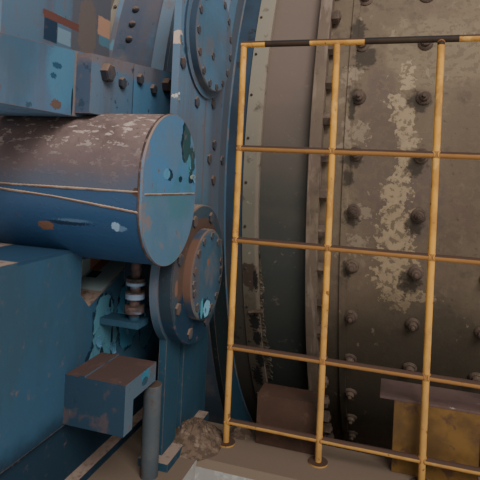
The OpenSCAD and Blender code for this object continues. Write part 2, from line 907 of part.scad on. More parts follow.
// Trunnion: a flange on the hub, the journal and a collar past the bearing
module trunnion() {
    slope_end = trunnion_flange_t + trunnion_slope;
    color("lightslategray") translate([hub_x, 0, axis_z]) rotate([0, -90, 0]) rotate_extrude()
        polygon([
            [trunnion_bore_r, 0], [trunnion_r + trunnion_lip, 0],
            [trunnion_r + trunnion_lip, trunnion_flange_t],
            [trunnion_r + trunnion_slope, trunnion_flange_t], [trunnion_r, slope_end],
            [trunnion_r, trunnion_len - collar_w], [trunnion_r + collar_h, trunnion_len - collar_w],
            [trunnion_r + collar_h, trunnion_len], [trunnion_bore_r, trunnion_len]
        ]);
}

module running_bands() {
    color("slategray") {
        mill_ring(seal_gap, joint_x, band_r, shell_r + seat);
        mill_ring(head_x, left_face - seal_gap, band_r, shell_r + seat);
    }
}

module drive_flange() {
    color("darkslategray") mill_ring(joint_x, joint_x + joint_t, flange_r, shell_r + seat);
}

module shell_flange() {
    color("darkslategray") mill_ring(joint_x + joint_t, joint_x + 2 * joint_t,
        flange_r, shell_r + seat);
}

module butt_strap() {
    color("dimgray") mill_ring(strap_x, strap_x + strap_w, shell_r + strap_t, shell_r + seat);
}

module end_flange() {
    color("dimgray") difference() {
        mill_ring(shell_right - end_flange_t, shell_right, flange_r, bore_r);
        translate([shell_right - end_flange_t - past, 0, axis_z]) rotate([0, 90, 0])
            for (i = [0 : end_bolts - 1])
                rotate(i * 360 / end_bolts) translate([shell_r + joint_h / 2, 0])
                    cylinder(h = end_flange_t + 2 * past, r = end_bolt_r);
    }
}

raft();
front_plinth();
rear_plinth();
fence_wall();
bearing_plinth();
guard_saddle();
guard_upper();
guard_lower();
side_plate_right();
side_plate_left();
guard_necks();
seal_clamps();
rear_bracket();
pinion_housing();
frame_plate_right();
frame_plate_left();
bolted_pad();
cross_beam();
beam_caps();
lower_housing();
lower_cover();
upper_housing();
upper_cover();
lower_sleeve();
upper_sleeve();
support_bracket();
adjusting_screw();
stub_post();
kerb_block();
yellow_box();
tread_plate();
fence_panel_1();
fence_panel_2();
bearing_base();
bearing_cap();
mill_shell();
shell_liners();
mill_head();
head_liners();
trunnion();
running_bands();
drive_flange();
shell_flange();
butt_strap();
end_flange();
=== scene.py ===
# %% [markdown]
# # The drive end of a ball mill
# A mill is a drum of steel plate that turns on its own axis. Here one end of it is dressed:
# the brown shell with its liner bolts, the round blue guard that it turns in, the pinion frame
# with its bearing covers, and the yellow tube fence on the walkway. The solids come from the
# CAD frame and keep their shape. This lesson adds their finishes and the small pieces that are
# bolted, welded or stuck on them, and every piece rides on the body that carries it.

# %% Open the frame
import math

import bpy
import numpy as np
from mathutils import Matrix, Vector


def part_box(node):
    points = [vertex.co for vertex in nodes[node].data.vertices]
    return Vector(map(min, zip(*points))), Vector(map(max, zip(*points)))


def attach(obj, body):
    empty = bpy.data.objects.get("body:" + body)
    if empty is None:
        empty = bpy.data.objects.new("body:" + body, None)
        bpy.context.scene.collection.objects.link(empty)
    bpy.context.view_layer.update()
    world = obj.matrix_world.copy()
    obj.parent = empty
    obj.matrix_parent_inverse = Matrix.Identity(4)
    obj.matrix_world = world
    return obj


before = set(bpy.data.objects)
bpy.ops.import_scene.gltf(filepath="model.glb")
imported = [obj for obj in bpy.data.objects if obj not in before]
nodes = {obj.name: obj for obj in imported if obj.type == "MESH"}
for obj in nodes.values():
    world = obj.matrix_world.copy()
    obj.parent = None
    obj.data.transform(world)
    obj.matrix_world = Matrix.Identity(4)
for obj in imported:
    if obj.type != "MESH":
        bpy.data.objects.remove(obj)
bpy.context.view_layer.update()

# %% [markdown]
# Sizes that many cells need are read back from the solids, so that a bolt stays on its plate
# when the plate moves in the CAD.

# %% Read the main sizes from the solids
def low(node):
    """The lowest corner of a solid's box."""
    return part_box(node)[0]


def high(node):
    """The highest corner of a solid's box."""
    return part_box(node)[1]


AXIS = (low("mill_shell").z + high("mill_shell").z) / 2
SHELL_R = (high("mill_shell").z - low("mill_shell").z) / 2
BAND_R = high("running_bands").z - AXIS
GUARD_R = AXIS - low("side_plate_right").z
GUARD_LEFT = low("side_plate_left").x
WALK = high("front_plinth").z
TURN = 2 * math.pi
print("axis", AXIS, "shell", SHELL_R, "band", BAND_R, "guard", GUARD_R, GUARD_LEFT, "walk", WALK)

# %% [markdown]
# The picture looks almost level along the mill, turned a little to the left, and the camera
# leans by a couple of degrees. Upright edges stay nearly upright in it, which a tilted camera
# would not give, so the framing is done with a small lens shift instead of a tilt.

# %% Set up the camera
PICTURE, FOCAL_PIXELS, MIDDLE_ROW = 480, 505.0, 167.0
EYE = (1.05, -5.87, 3.6)
TURN_LEFT, LEVEL, LEAN = (math.radians(degrees) for degrees in (17.0, 90.0, 2.6))

camera_data = bpy.data.cameras.new("camera")
camera_data.sensor_width = 36.0
camera_data.lens = FOCAL_PIXELS / PICTURE * camera_data.sensor_width
camera_data.shift_y = (MIDDLE_ROW - PICTURE / 2) / PICTURE
camera = bpy.data.objects.new("camera", camera_data)
camera.matrix_world = (Matrix.Translation(EYE) @ Matrix.Rotation(TURN_LEFT, 4, "Z")
                       @ Matrix.Rotation(LEVEL, 4, "X") @ Matrix.Rotation(LEAN, 4, "Z"))
bpy.context.scene.collection.objects.link(camera)
bpy.context.scene.camera = camera
print("lens", round(camera_data.lens, 2), "shift", round(camera_data.shift_y, 3))

# %% [markdown]
# Nodes are wired by a few helpers. One adds a node and fills or links its sockets, one does
# arithmetic, and one blends two colours or two numbers by a mask.

# %% Helpers that wire shader nodes
def add_node(tree, kind, values=None, **settings):
    """Adds one shader node, sets its options and fills or links its sockets."""
    node = tree.nodes.new("ShaderNode" + kind)
    for name, value in settings.items():
        setattr(node, name, value)
    for name, value in (values or {}).items():
        socket = node.inputs[name]
        if isinstance(value, bpy.types.NodeSocket):
            tree.links.new(value, socket)
        else:
            socket.default_value = (*value, 1.0) if socket.type == "RGBA" else value
    return node


def number(tree, operation, first, second=0.0, clamp=False):
    """The result of one sum of two numbers."""
    return add_node(tree, "Math", {0: first, 1: second}, operation=operation,
                    use_clamp=clamp).outputs[0]


def vector(tree, operation, first, second=(0.0, 0.0, 0.0)):
    """The result of one sum of two vectors. A length or a dot product is a number."""
    out = 1 if operation in ("LENGTH", "DOT_PRODUCT") else 0
    return add_node(tree, "VectorMath", {0: first, 1: second}, operation=operation).outputs[out]


def step(tree, value, level, soft, falls=False):
    """Rises smoothly from 0 to 1 about a level, over soft on either side, or falls so."""
    ends = [number(tree, "SUBTRACT", level, soft), number(tree, "ADD", level, soft)]
    start, end = ends[::-1] if falls else ends
    return add_node(tree, "MapRange", {"Value": value, "From Min": start, "From Max": end},
                    interpolation_type="SMOOTHSTEP").outputs["Result"]


MIX_SOCKETS = {"FLOAT": (2, 3, 0), "RGBA": (6, 7, 2)}


def blend(tree, mask, first, second, kind="RGBA"):
    """The first value where the mask is 0 and the second where it is 1."""
    start, end, out = MIX_SOCKETS[kind]
    return add_node(tree, "Mix", {0: mask, start: first, end: second}, data_type=kind).outputs[out]

# %% [markdown]
# Everything that has happened to this machine happened in layers: paint, dust that settled on
# it, streaks that ran down it, flakes that fell off, and edges that were knocked bare. Each
# kind of layer is one node group that puts out a mask. A finish is then a list of such masks,
# each with its colour, its roughness and how far it stands proud. A painted texture would give
# the same picture from one side only. Masks in object space cover every side.

# %% Build a mask as a node group
HERE, EVEN = (0.0, 0.0, 0.0), (1.0, 1.0, 1.0)
MASKS = {}


def frayed(group, inputs, value):
    """A value that wanders either side of itself, which makes the mask's edge ragged."""
    noise = add_node(group, "TexNoise", {"Vector": inputs["Where"], "Scale": inputs["Grain"],
                                         "Detail": 6.0, "Roughness": 0.62})
    off = number(group, "SUBTRACT", noise.outputs[0], 0.5)
    return number(group, "ADD", value, number(group, "MULTIPLY", off, inputs["Ragged"]))


def add_mask(draw, **values):
    """Wires one mask as a node group of its own, thinned by its amount."""
    name = draw.__name__.removesuffix("_mask")
    group = MASKS[name] = bpy.data.node_groups.new(name, "ShaderNodeTree")
    for label, value in {"Where": HERE, **values, "Amount": 1.0}.items():
        kind = "NodeSocketVector" if isinstance(value, tuple) else "NodeSocketFloat"
        socket = group.interface.new_socket(label, in_out="INPUT", socket_type=kind)
        socket.default_value = value
    group.interface.new_socket("Mask", in_out="OUTPUT", socket_type="NodeSocketFloat")
    inputs = group.nodes.new("NodeGroupInput").outputs
    mask = number(group, "MULTIPLY", draw(group, inputs), inputs["Amount"], clamp=True)
    group.links.new(mask, group.nodes.new("NodeGroupOutput").inputs["Mask"])

# %% [markdown]
# Speckles are small drips and grains all over a piece, so noise above a level gives them. A peel
# or a stain has a place of its own, so it is a patch: the way from its centre is counted in half
# sizes, and noise is added so that its edge is ragged like that of a real flake. A picture of
# flakes could be laid on instead, but it would stretch on every curved side.

# %% Masks for speckles, patches and panels
def speckle_mask(group, inputs):
    """Speckles, streaks or blotches: where a stretched noise is above a level."""
    where = vector(group, "MULTIPLY", inputs["Where"], inputs["Stretch"])
    noise = add_node(group, "TexNoise", {"Vector": where, "Scale": inputs["Scale"],
                                         "Detail": 7.0, "Roughness": 0.6})
    return step(group, noise.outputs[0], inputs["Level"], inputs["Soft"])


def from_centre(group, inputs):
    """The way from a centre, counted in half sizes."""
    away = vector(group, "SUBTRACT", inputs["Where"], inputs["Centre"])
    return vector(group, "DIVIDE", away, inputs["Half"])


def patch_mask(group, inputs):
    """One round patch at a known place: where the way from its centre is below 1."""
    away = vector(group, "LENGTH", from_centre(group, inputs))
    return step(group, frayed(group, inputs, away), 1.0, inputs["Soft"], falls=True)


def panel_mask(group, inputs):
    """A patch with straight sides: the largest of the three ways is below 1."""
    away = vector(group, "ABSOLUTE", from_centre(group, inputs))
    away = add_node(group, "SeparateXYZ", {0: away}).outputs
    away = number(group, "MAXIMUM", away[0], number(group, "MAXIMUM", away[1], away[2]))
    return step(group, frayed(group, inputs, away), 1.0, inputs["Soft"], falls=True)


add_mask(speckle_mask, Stretch=EVEN, Scale=10.0, Level=0.6, Soft=0.05)
add_mask(patch_mask, Centre=HERE, Half=EVEN, Ragged=0.8, Grain=12.0, Soft=0.06)
add_mask(panel_mask, Centre=HERE, Half=EVEN, Ragged=0.1, Grain=12.0, Soft=0.06)

# %% [markdown]
# A coat ends in a straight line or in a ring where plates meet or where water has stood. One
# smooth step up and one down give such a band. A colour ramp could draw it too, but its stops
# are no inputs, so each band would need a ramp of its own.

# %% Masks for stripes and rings
def between(group, inputs, value):
    """Where a value lies between the low and the high one."""
    return number(group, "MULTIPLY", step(group, value, inputs["Low"], inputs["Soft"]),
                  step(group, value, inputs["High"], inputs["Soft"], falls=True))


def stripe_mask(group, inputs):
    """A stripe between two places along an axis."""
    along = vector(group, "DOT_PRODUCT", inputs["Where"], inputs["Along"])
    return between(group, inputs, frayed(group, inputs, along))


def ring_mask(group, inputs):
    """A ring about an axis that runs along X."""
    away = vector(group, "SUBTRACT", inputs["Where"], inputs["Centre"])
    radius = vector(group, "LENGTH", vector(group, "MULTIPLY", away, (0.0, 1.0, 1.0)))
    return between(group, inputs, frayed(group, inputs, radius))


add_mask(stripe_mask, Along=(0.0, 0.0, 1.0), Low=0.0, High=1.0, Ragged=0.0, Grain=8.0, Soft=0.01)
add_mask(ring_mask, Centre=HERE, Low=0.0, High=1.0, Ragged=0.0, Grain=8.0, Soft=0.01)

# %% [markdown]
# Dust lies on what faces up, shade lies on what faces one way, and edges are knocked bare. The
# first two read the face's normal. The third compares it with a rounded normal, which differs
# only near an edge. Colours on the vertices could mark edges too, but flat plates have vertices
# only at their corners.

# %% Masks for dust, for faces and for edges
def true_normal(group):
    """The way that a face looks."""
    return add_node(group, "NewGeometry").outputs["Normal"]


def settled_mask(group, inputs):
    """Dust that lies on what faces up."""
    up = add_node(group, "SeparateXYZ", {0: true_normal(group)}).outputs["Z"]
    return step(group, frayed(group, inputs, up), inputs["Level"], inputs["Soft"])


def facing_mask(group, inputs):
    """Faces that look along an axis."""
    toward = vector(group, "DOT_PRODUCT", true_normal(group), inputs["Along"])
    return step(group, toward, inputs["Level"], inputs["Soft"])


def worn_mask(group, inputs):
    """Knocked and rusted edges: where a rounded normal differs from the true one."""
    rounded = add_node(group, "Bevel", {"Radius": inputs["Radius"]}, samples=4).outputs[0]
    same = vector(group, "DOT_PRODUCT", rounded, true_normal(group))
    bend = number(group, "SUBTRACT", 1.0, same)
    return step(group, frayed(group, inputs, bend), inputs["Level"], inputs["Soft"])


add_mask(settled_mask, Level=0.6, Ragged=0.5, Grain=6.0, Soft=0.15)
add_mask(facing_mask, Along=(0.0, -1.0, 0.0), Level=0.5, Soft=0.1)
add_mask(worn_mask, Radius=0.012, Level=0.12, Ragged=0.5, Grain=14.0, Soft=0.08)
print("masks", list(MASKS))

# %% [markdown]
# The shell is round, so a stain on it is easier to describe on the unrolled plate: the place
# along the axis, the distance round the shell, and the height above it. This group works those
# three out from the object's own coordinates, so the pattern turns with the mill.

# %% Unroll the shell
unrolled = bpy.data.node_groups.new("unrolled", "ShaderNodeTree")
for label, way in (("Where", "INPUT"), ("Rolled out", "OUTPUT")):
    unrolled.interface.new_socket(label, in_out=way, socket_type="NodeSocketVector")
spot = add_node(unrolled, "SeparateXYZ", {
    0: unrolled.nodes.new("NodeGroupInput").outputs["Where"]}).outputs
rise = number(unrolled, "SUBTRACT", spot["Z"], AXIS)
front = number(unrolled, "MULTIPLY", spot["Y"], -1.0)
squares = [number(unrolled, "MULTIPLY", way, way) for way in (rise, front)]
radius = number(unrolled, "SQRT", number(unrolled, "ADD", *squares))
angle = number(unrolled, "ARCTAN2", rise, front)
sheet = add_node(unrolled, "CombineXYZ", {
    0: spot["X"], 1: number(unrolled, "MULTIPLY", angle, SHELL_R),
    2: number(unrolled, "SUBTRACT", radius, SHELL_R)})
unrolled.links.new(sheet.outputs[0], unrolled.nodes.new("NodeGroupOutput").inputs["Rolled out"])
print("unrolled", len(unrolled.nodes), "nodes")

# %% [markdown]
# A finish is one material. It starts with a ground colour, and each layer is laid over what is
# under it by its mask, as coats lie on the real steel. It could be wired by hand for each piece,
# but a function that reads a list keeps dozens of finishes alike and easy to change.

# %% Build a finish from its layers
def finish(name, colour, rough, layers, on=(), metallic=0.0, rolled=False,
           grain=(45.0, 0.0006), gloss=0.15):
    """A material: a ground colour, then each layer laid over what is under it by its mask.
    It is given to the solids that it is on."""
    material = bpy.data.materials.new(name)
    material.use_nodes = True
    tree = material.node_tree
    tree.nodes.clear()
    where = add_node(tree, "TexCoord").outputs["Object"]
    if rolled:
        flat = add_node(tree, "Group", {}, node_tree=unrolled)
        tree.links.new(where, flat.inputs[0])
        where = flat.outputs[0]
    fine = add_node(tree, "TexNoise", {"Vector": where, "Scale": grain[0], "Detail": 5.0})
    height = number(tree, "MULTIPLY", fine.outputs[0], grain[1])
    for kind, over, over_rough, lift, values in layers:
        node = add_node(tree, "Group", {}, node_tree=MASKS[kind])
        tree.links.new(where, node.inputs["Where"])
        for label, value in values.items():
            node.inputs[label].default_value = value
        mask = node.outputs["Mask"]
        colour = blend(tree, mask, colour, over)
        rough = blend(tree, mask, rough, over_rough, "FLOAT")
        if lift:
            height = number(tree, "ADD", height, number(tree, "MULTIPLY", mask, lift))
    bump = add_node(tree, "Bump", {"Height": height, "Strength": 1.0, "Distance": 1.0})
    shader = add_node(tree, "BsdfPrincipled", {
        "Base Color": colour, "Roughness": rough, "Metallic": metallic,
        "Specular IOR Level": gloss, "Normal": bump.outputs["Normal"]})
    output = tree.nodes.new("ShaderNodeOutputMaterial")
    tree.links.new(shader.outputs[0], output.inputs["Surface"])
    for mesh in [nodes[node].data for node in on]:
        if not mesh.materials:
            mesh.materials.append(material)
        for place in range(len(mesh.materials)):
            mesh.materials[place] = material
    print("finish", name, "of", len(layers), "layers on", list(on))
    return material

# %% [markdown]
# The same few colours come back all over the machine: navy, two older teal coats and rust. They
# are linear values, chosen so that each piece looks as it should once the lamps light it. Those
# that come back are named once, so that one change reaches every piece.

# %% Name the colours
NAVY_DEEP, BLUE, PALE_BLUE = (0.006, 0.02, 0.034), (0.055, 0.118, 0.19), (0.22, 0.33, 0.44)
TEAL_DULL, TEAL_FRESH = (0.06, 0.15, 0.19), (0.055, 0.18, 0.27)
RUST, RUST_DARK = (0.14, 0.06, 0.03), (0.055, 0.028, 0.018)
ALONG_X, ALONG_Y, ALONG_Z = (1.0, 0.0, 0.0), (0.0, 1.0, 0.0), (0.0, 0.0, 1.0)
FRONT, STREAK = (0.0, -1.0, 0.0), (3.0, 3.0, 0.22)
LOW_PLACE, HIGH_PLACE = (-3.307, -0.585), (-3.185, 0.712)
FAR = 9.0
print("low cover at", LOW_PLACE, "high cover at", HIGH_PLACE)

# %% [markdown]
# Each kind of layer has a short call: its colour and roughness, then where it lies. Heights are
# counted from the mill axis, where the picture was measured from. Lists of sockets and values
# would say the same, but nobody could read a stain out of them.

# %% Short calls for the layers
def layer(kind, colour, rough, lift=0.0, **values):
    """One layer of any kind, with the values of its mask."""
    return kind, colour, rough, lift, values


def speckle(colour, rough, scale, level, soft=0.05, amount=1.0, lift=0.0, stretch=EVEN):
    """Speckles, streaks or blotches of a scale, where the noise is above the level."""
    return layer("speckle", colour, rough, lift, Scale=scale, Level=level, Soft=soft,
                 Amount=amount, Stretch=stretch)


def patch(colour, rough, centre, half, ragged=0.8, grain=12.0, soft=0.06, amount=1.0, lift=0.0,
          kind="patch"):
    """A patch at a place. A small one gets a finer edge: its grain is at least 1.6 over its
    smallest half size."""
    return layer(kind, colour, rough, lift, Centre=(*centre[:2], AXIS + centre[2]), Half=half,
                 Ragged=ragged, Grain=max(grain, 1.6 / min(half)), Soft=soft, Amount=amount)


def panel(*values, **named):
    """A patch with straight sides."""
    return patch(*values, kind="panel", **named)


def stripe(colour, rough, along, start, end, ragged=0.0, soft=0.01, amount=1.0, grain=8.0,
           lift=0.0):
    """A stripe between two places along an axis."""
    base = AXIS if along == ALONG_Z else 0.0
    return layer("stripe", colour, rough, lift, Along=along, Low=start + base, High=end + base,
                 Ragged=ragged, Soft=soft, Amount=amount, Grain=grain)


def below(colour, rough, height, *values, **named):
    """A stripe that covers everything below a height."""
    return stripe(colour, rough, ALONG_Z, -FAR, height, *values, **named)


def ring(colour, rough, start, end, centre=(0.0, 0.0), ragged=0.0, soft=0.004, amount=1.0):
    """A ring between two radii about a centre given by its Y and height."""
    return layer("ring", colour, rough, 0.0, Centre=(0.0, centre[0], AXIS + centre[1]),
                 Low=start, High=end, Ragged=ragged, Soft=soft, Amount=amount, Grain=14.0)


def peels(spots, ragged=0.9, grain=14.0):
    """Layers of paint peels that run together: first a dark rim round each, painted shadow of the
    new coat's raised edge, then the older coat in it, a little lower than the paint round it. Each
    spot gives a centre, a half size and the coat's colour."""
    rims = [patch(NAVY_DEEP, 0.7, centre, tuple(1.1 * h for h in half), ragged, grain, 0.05,
                  lift=0.0008) for centre, half, _ in spots]
    return rims + [patch(colour, 0.5, centre, half, ragged, grain, 0.03, lift=-0.0016)
                   for centre, half, colour in spots]

# %% [markdown]
# Every painted piece shares the wear that all paint on this machine has. What only one piece
# has, such as a peel or a stain at a known place, is added to that piece's own list.

# %% Wear that all the blue paint shares
WEAR = [
    speckle((0.1, 0.118, 0.145), 0.75, 3.2, 0.53, 0.14, 0.55),
    speckle((0.045, 0.15, 0.25), 0.5, 2.6, 0.6, 0.08, 0.45),
    speckle((0.085, 0.07, 0.078), 0.85, 2.2, 0.57, 0.1, 0.5, stretch=STREAK),
    speckle((0.026, 0.05, 0.07), 0.6, 13.0, 0.66, 0.02, 0.85, -0.0006),
    speckle((0.2, 0.26, 0.3), 0.7, 34.0, 0.7, 0.02, 0.6, 0.0003),
    speckle(RUST, 0.9, 8.0, 0.69, 0.03, 0.8, 0.0004, (2.0, 2.0, 0.6))]
EDGES = [
    layer("worn", (0.15, 0.085, 0.06), 0.9, -0.0004, Radius=0.007, Level=0.13, Amount=0.85,
        Ragged=0.6, Grain=24.0),
    layer("settled", (0.12, 0.078, 0.058), 0.95, Level=0.45, Soft=0.2),
    layer("settled", (0.26, 0.19, 0.15), 0.95, 0.0006, Level=0.92, Soft=0.1, Ragged=0.9,
        Grain=30.0, Amount=0.6)]

# %% [markdown]
# The guard's side plates are flat rings. Dust has dulled the paint round the opening, and a rusty
# line runs beside the frame. Their foot is painted darker, as painted shade. One image could be
# painted for them, but stripes, rings and patches at measured places can be moved one by one.

# %% Paint the side plates of the guard
finish("face_paint", (0.08, 0.128, 0.18), 0.55, [
    *WEAR,
    stripe((0.075, 0.088, 0.105), 0.65, ALONG_Z, -0.75, 0.25, 0.3, 0.2, 0.6),
    stripe((0.045, 0.115, 0.16), 0.5, ALONG_Z, -0.5, -0.12, 0.25, 0.08, 0.5, 5.0),
    ring((0.06, 0.062, 0.069), 0.85, 2.6, 2.87, ragged=0.02, soft=0.008, amount=0.8),
    ring((0.028, 0.045, 0.06), 0.7, 2.868, 2.882, ragged=0.012, amount=0.6),
    stripe((0.08, 0.078, 0.092), 0.75, ALONG_Y, -3.06, -2.87, 0.04, 0.03, 0.65),
    stripe((0.13, 0.07, 0.045), 0.9, ALONG_Y, -3.172, -3.15, 0.04, 0.006, 0.55, 9.0),
    speckle((0.16, 0.095, 0.07), 0.9, 6.0, 0.62, amount=0.6, stretch=(3.0, 3.0, 0.3)),
    patch((0.42, 0.3, 0.24), 0.8, (0.0, -3.546, 0.637), (0.1, 0.02, 0.034), 0.7, 30.0,
        lift=0.0005),
    patch((0.5, 0.44, 0.36), 0.8, (0.0, -3.538, 0.342), (0.1, 0.013, 0.022), 0.7, 40.0,
        lift=0.0005),
    # painted shade: the side plates are darker below this height
    below((0.013, 0.04, 0.06), 0.6, -0.72, 0.15, 0.18, 0.97),
    panel((0.006, 0.011, 0.012), 0.9, (0.0, -2.64, -1.5), (0.05, 0.2, 1.0), 0.2, 5.0, 0.12),
    panel((0.085, 0.085, 0.098), 0.8, (-0.79, -3.1, 0.8), (0.05, 0.26, 0.3), 0.1, 7.0, 0.05),
    patch((0.12, 0.095, 0.085), 0.9, (-0.79, -3.2, 0.8), (0.05, 0.1, 0.2), 1.2),
    panel((0.15, 0.22, 0.27), 0.6, (-0.79, -3.42, 0.694), (0.05, 0.06, 0.042), 0.12, 20.0),
    panel((0.02, 0.035, 0.06), 0.6, (-0.79, -3.54, 0.7), (0.05, 0.055, 0.06), 0.12),
    panel((0.075, 0.15, 0.19), 0.6, (-0.79, -2.98, 0.78), (0.05, 0.09, 0.04), 0.6),
    panel((0.34, 0.19, 0.125), 0.85, (-0.79, -3.0, 0.86), (0.05, 0.09, 0.06), 0.35),
    panel((0.12, 0.05, 0.04), 0.9, (-0.79, -3.45, 0.78), (0.05, 0.16, 0.022), 0.5),
    *EDGES], on=["side_plate_right", "side_plate_left"])

# %% [markdown]
# The frame's large plate shows an older, greener coat where two sheets of paint have let go.
# Each peel has a dark rim of painted shadow, where the edge of the new coat stands off.

# %% Paint the pinion frame
finish("frame_paint", (0.06, 0.118, 0.188), 0.55, [
    *WEAR,
    # painted shade: the frame is darker below these heights
    below((0.022, 0.06, 0.098), 0.6, -0.2, 0.05, 0.15, 0.95),
    speckle((0.03, 0.048, 0.055), 0.8, 1.3, 0.54, 0.1, 0.5, stretch=(1.5, 1.5, 0.7)),
    below((0.008, 0.02, 0.032), 0.7, -1.13, 0.1, 0.06, 0.9),
    patch((0.055, 0.15, 0.22), 0.5, (-0.3, -4.06, 0.36), (0.02, 0.1, 0.14), 0.6, 9.0, 0.2, 0.7),
    # painted shade: the faces that look forward are darker
    layer("facing", (0.028, 0.05, 0.085), 0.6, Amount=0.75),
    patch((0.055, 0.13, 0.19), 0.6, (-0.3, -3.3, -0.78), (0.1, 0.25, 0.35), 0.3, 5.0, 0.5, 0.9),
    *peels([
        ((-0.3, -3.655, -0.78), (0.2, 0.09, 0.115), TEAL_DULL),
        ((-0.3, -3.63, -0.9), (0.2, 0.115, 0.105), TEAL_DULL),
        ((-0.3, -3.7, -0.98), (0.2, 0.09, 0.08), TEAL_DULL),
        ((-0.3, -3.41, -0.73), (0.2, 0.105, 0.085), TEAL_FRESH),
        ((-0.3, -3.4, -0.87), (0.2, 0.1, 0.14), TEAL_FRESH),
        ((-0.3, -3.475, -0.77), (0.2, 0.05, 0.045), TEAL_FRESH),
        ((-0.3, -3.18, -0.96), (0.2, 0.085, 0.11), (0.04, 0.12, 0.18))]),
    patch((0.018, 0.055, 0.095), 0.7, (-0.3, -4.1, 0.385), (0.1, 0.03, 0.012), 1.9, lift=-0.001),
    patch((0.018, 0.055, 0.095), 0.7, (-0.3, -4.12, 0.34), (0.1, 0.018, 0.012), 1.9, lift=-0.001),
    *[patch(NAVY_DEEP, 0.7, (-0.3, y, z), (0.1, wide, tall), ragged, 20.0, lift=-0.001)
      for y, z, wide, tall, ragged in [
          (-3.6, -0.75, 0.012, 0.055, 0.5), (-3.44, -0.75, 0.009, 0.05, 0.5),
          (-3.57, -0.92, 0.01, 0.08, 0.5), (-3.66, -0.955, 0.016, 0.03, 0.8),
          (-3.99, 0.25, 0.006, 0.06, 0.4)]],
    patch((0.1, 0.058, 0.045), 0.9, (-0.3, -4.095, 0.225), (0.1, 0.03, 0.02), 2.0, lift=0.001),
    panel((0.17, 0.12, 0.09), 0.9, (-0.3, -3.973, 0.4), (0.03, 0.011, 0.36), 0.3, 30.0, 0.1, 0.8),
    *EDGES,
    panel((0.016, 0.04, 0.07), 0.6, (-0.4, -4.1, -0.4), (0.2, 0.18, 0.014), 0.0),
    panel((0.24, 0.29, 0.28), 0.75, (-0.44, -3.52, -0.6), (0.13, 0.15, 0.08), 0.15),
    panel((0.28, 0.13, 0.08), 0.9, (-0.47, -3.45, -0.57), (0.04, 0.06, 0.08), 0.3),
    panel((0.02, 0.03, 0.036), 0.8, (-0.44, -3.54, -0.6), (0.03, 0.03, 0.08), 0.3)],
    on=["frame_plate_right", "frame_plate_left", "pinion_housing", "rear_bracket"])

# %% [markdown]
# The pad is a thick plate bolted to the frame. Its front lies in less light than its side, so a
# mask of the faces that look forward darkens it with painted shade. A second material on those
# faces would work as well, but then the speckles would stop at the edge.

# %% Paint the pad
finish("pad_paint", (0.07, 0.118, 0.172), 0.55, [
    *WEAR,
    stripe((0.055, 0.145, 0.23), 0.5, ALONG_Y, -3.6, -3.0, 0.02, 0.012, 0.75),
    stripe((0.02, 0.03, 0.045), 0.7, ALONG_Y, -3.606, -3.597, 0.006, 0.002, 0.8, lift=-0.001),
    # painted shade: the faces that look forward are darker
    layer("facing", (0.034, 0.045, 0.07), 0.65, Amount=0.85),
    stripe((0.15, 0.095, 0.075), 0.9, ALONG_Z, 0.425, 0.9, 0.12, 0.02, 0.6, 9.0),
    speckle((0.02, 0.035, 0.05), 0.7, 22.0, 0.64, 0.03, 0.8, -0.0005),
    *EDGES,
    # painted light: a lighter blue stripe over the pad's right end
    stripe((0.13, 0.24, 0.35), 0.6, ALONG_Y, -3.3, -2.9, 0.02, 0.06, 0.7)], on=["bolted_pad"])

# %% [markdown]
# The beam's end caps wear the freshest blue on the machine, so their peels show most. Each large
# peel in the picture is one patch at its measured place. Noise alone would scatter peels at
# random, and the ones that the eye knows would be missing.

# %% Paint the beam's caps
CAP_SEAM = -0.137
finish("cap_paint", (0.05, 0.14, 0.245), 0.5, [
    *WEAR[:2],
    below((0.06, 0.115, 0.165), 0.6, CAP_SEAM, 0.012, 0.004),
    speckle((0.08, 0.13, 0.18), 0.7, 4.0, 0.52, 0.12, 0.7),
    speckle((0.04, 0.125, 0.14), 0.6, 3.0, 0.58, amount=0.6),
    # painted shadow: the dark rim round the large peel
    patch(NAVY_DEEP, 0.7, (0.1, -3.655, 0.11), (0.2, 0.055, 0.1), 1.0, 14.0, 0.04),
    patch((0.02, 0.05, 0.052), 0.7, (0.1, -3.645, 0.11), (0.2, 0.045, 0.095), 1.0, 14.0, 0.04,
        lift=-0.0012),
    patch((0.018, 0.045, 0.045), 0.7, (0.1, -3.575, 0.02), (0.2, 0.04, 0.07), 1.4, 18.0, 0.04,
        lift=-0.001),
    patch((0.05, 0.16, 0.2), 0.6, (0.1, -3.605, 0.0), (0.2, 0.022, 0.045), 1.2, 24.0, lift=0.001),
    patch(NAVY_DEEP, 0.7, (0.1, -3.82, -0.05), (0.2, 0.034, 0.026), 0.9, 22.0, lift=-0.001),
    patch((0.07, 0.19, 0.28), 0.6, (0.1, -3.85, -0.046), (0.2, 0.034, 0.024), grain=22.0,
        lift=0.001),
    patch(NAVY_DEEP, 0.7, (0.1, -3.7, -0.07), (0.2, 0.02, 0.014), 0.9, 30.0, lift=-0.001),
    patch(NAVY_DEEP, 0.7, (0.1, -3.575, -0.07), (0.2, 0.03, 0.022), 0.9, 30.0, lift=-0.001),
    patch((0.2, 0.21, 0.16), 0.7, (0.1, -3.55, -0.06), (0.2, 0.035, 0.012), grain=30.0,
        lift=0.001),
    speckle((0.03, 0.05, 0.06), 0.7, 20.0, 0.67, 0.02, 0.8, -0.0006),
    speckle((0.17, 0.11, 0.085), 0.9, 7.0, 0.64, 0.04, 0.7),
    layer("worn", (0.17, 0.105, 0.075), 0.9, -0.0003, Radius=0.009, Level=0.08, Soft=0.06,
        Ragged=0.4, Grain=20.0),
    layer("settled", (0.2, 0.14, 0.115), 0.95, Level=0.3, Soft=0.2)], on=["beam_caps"])
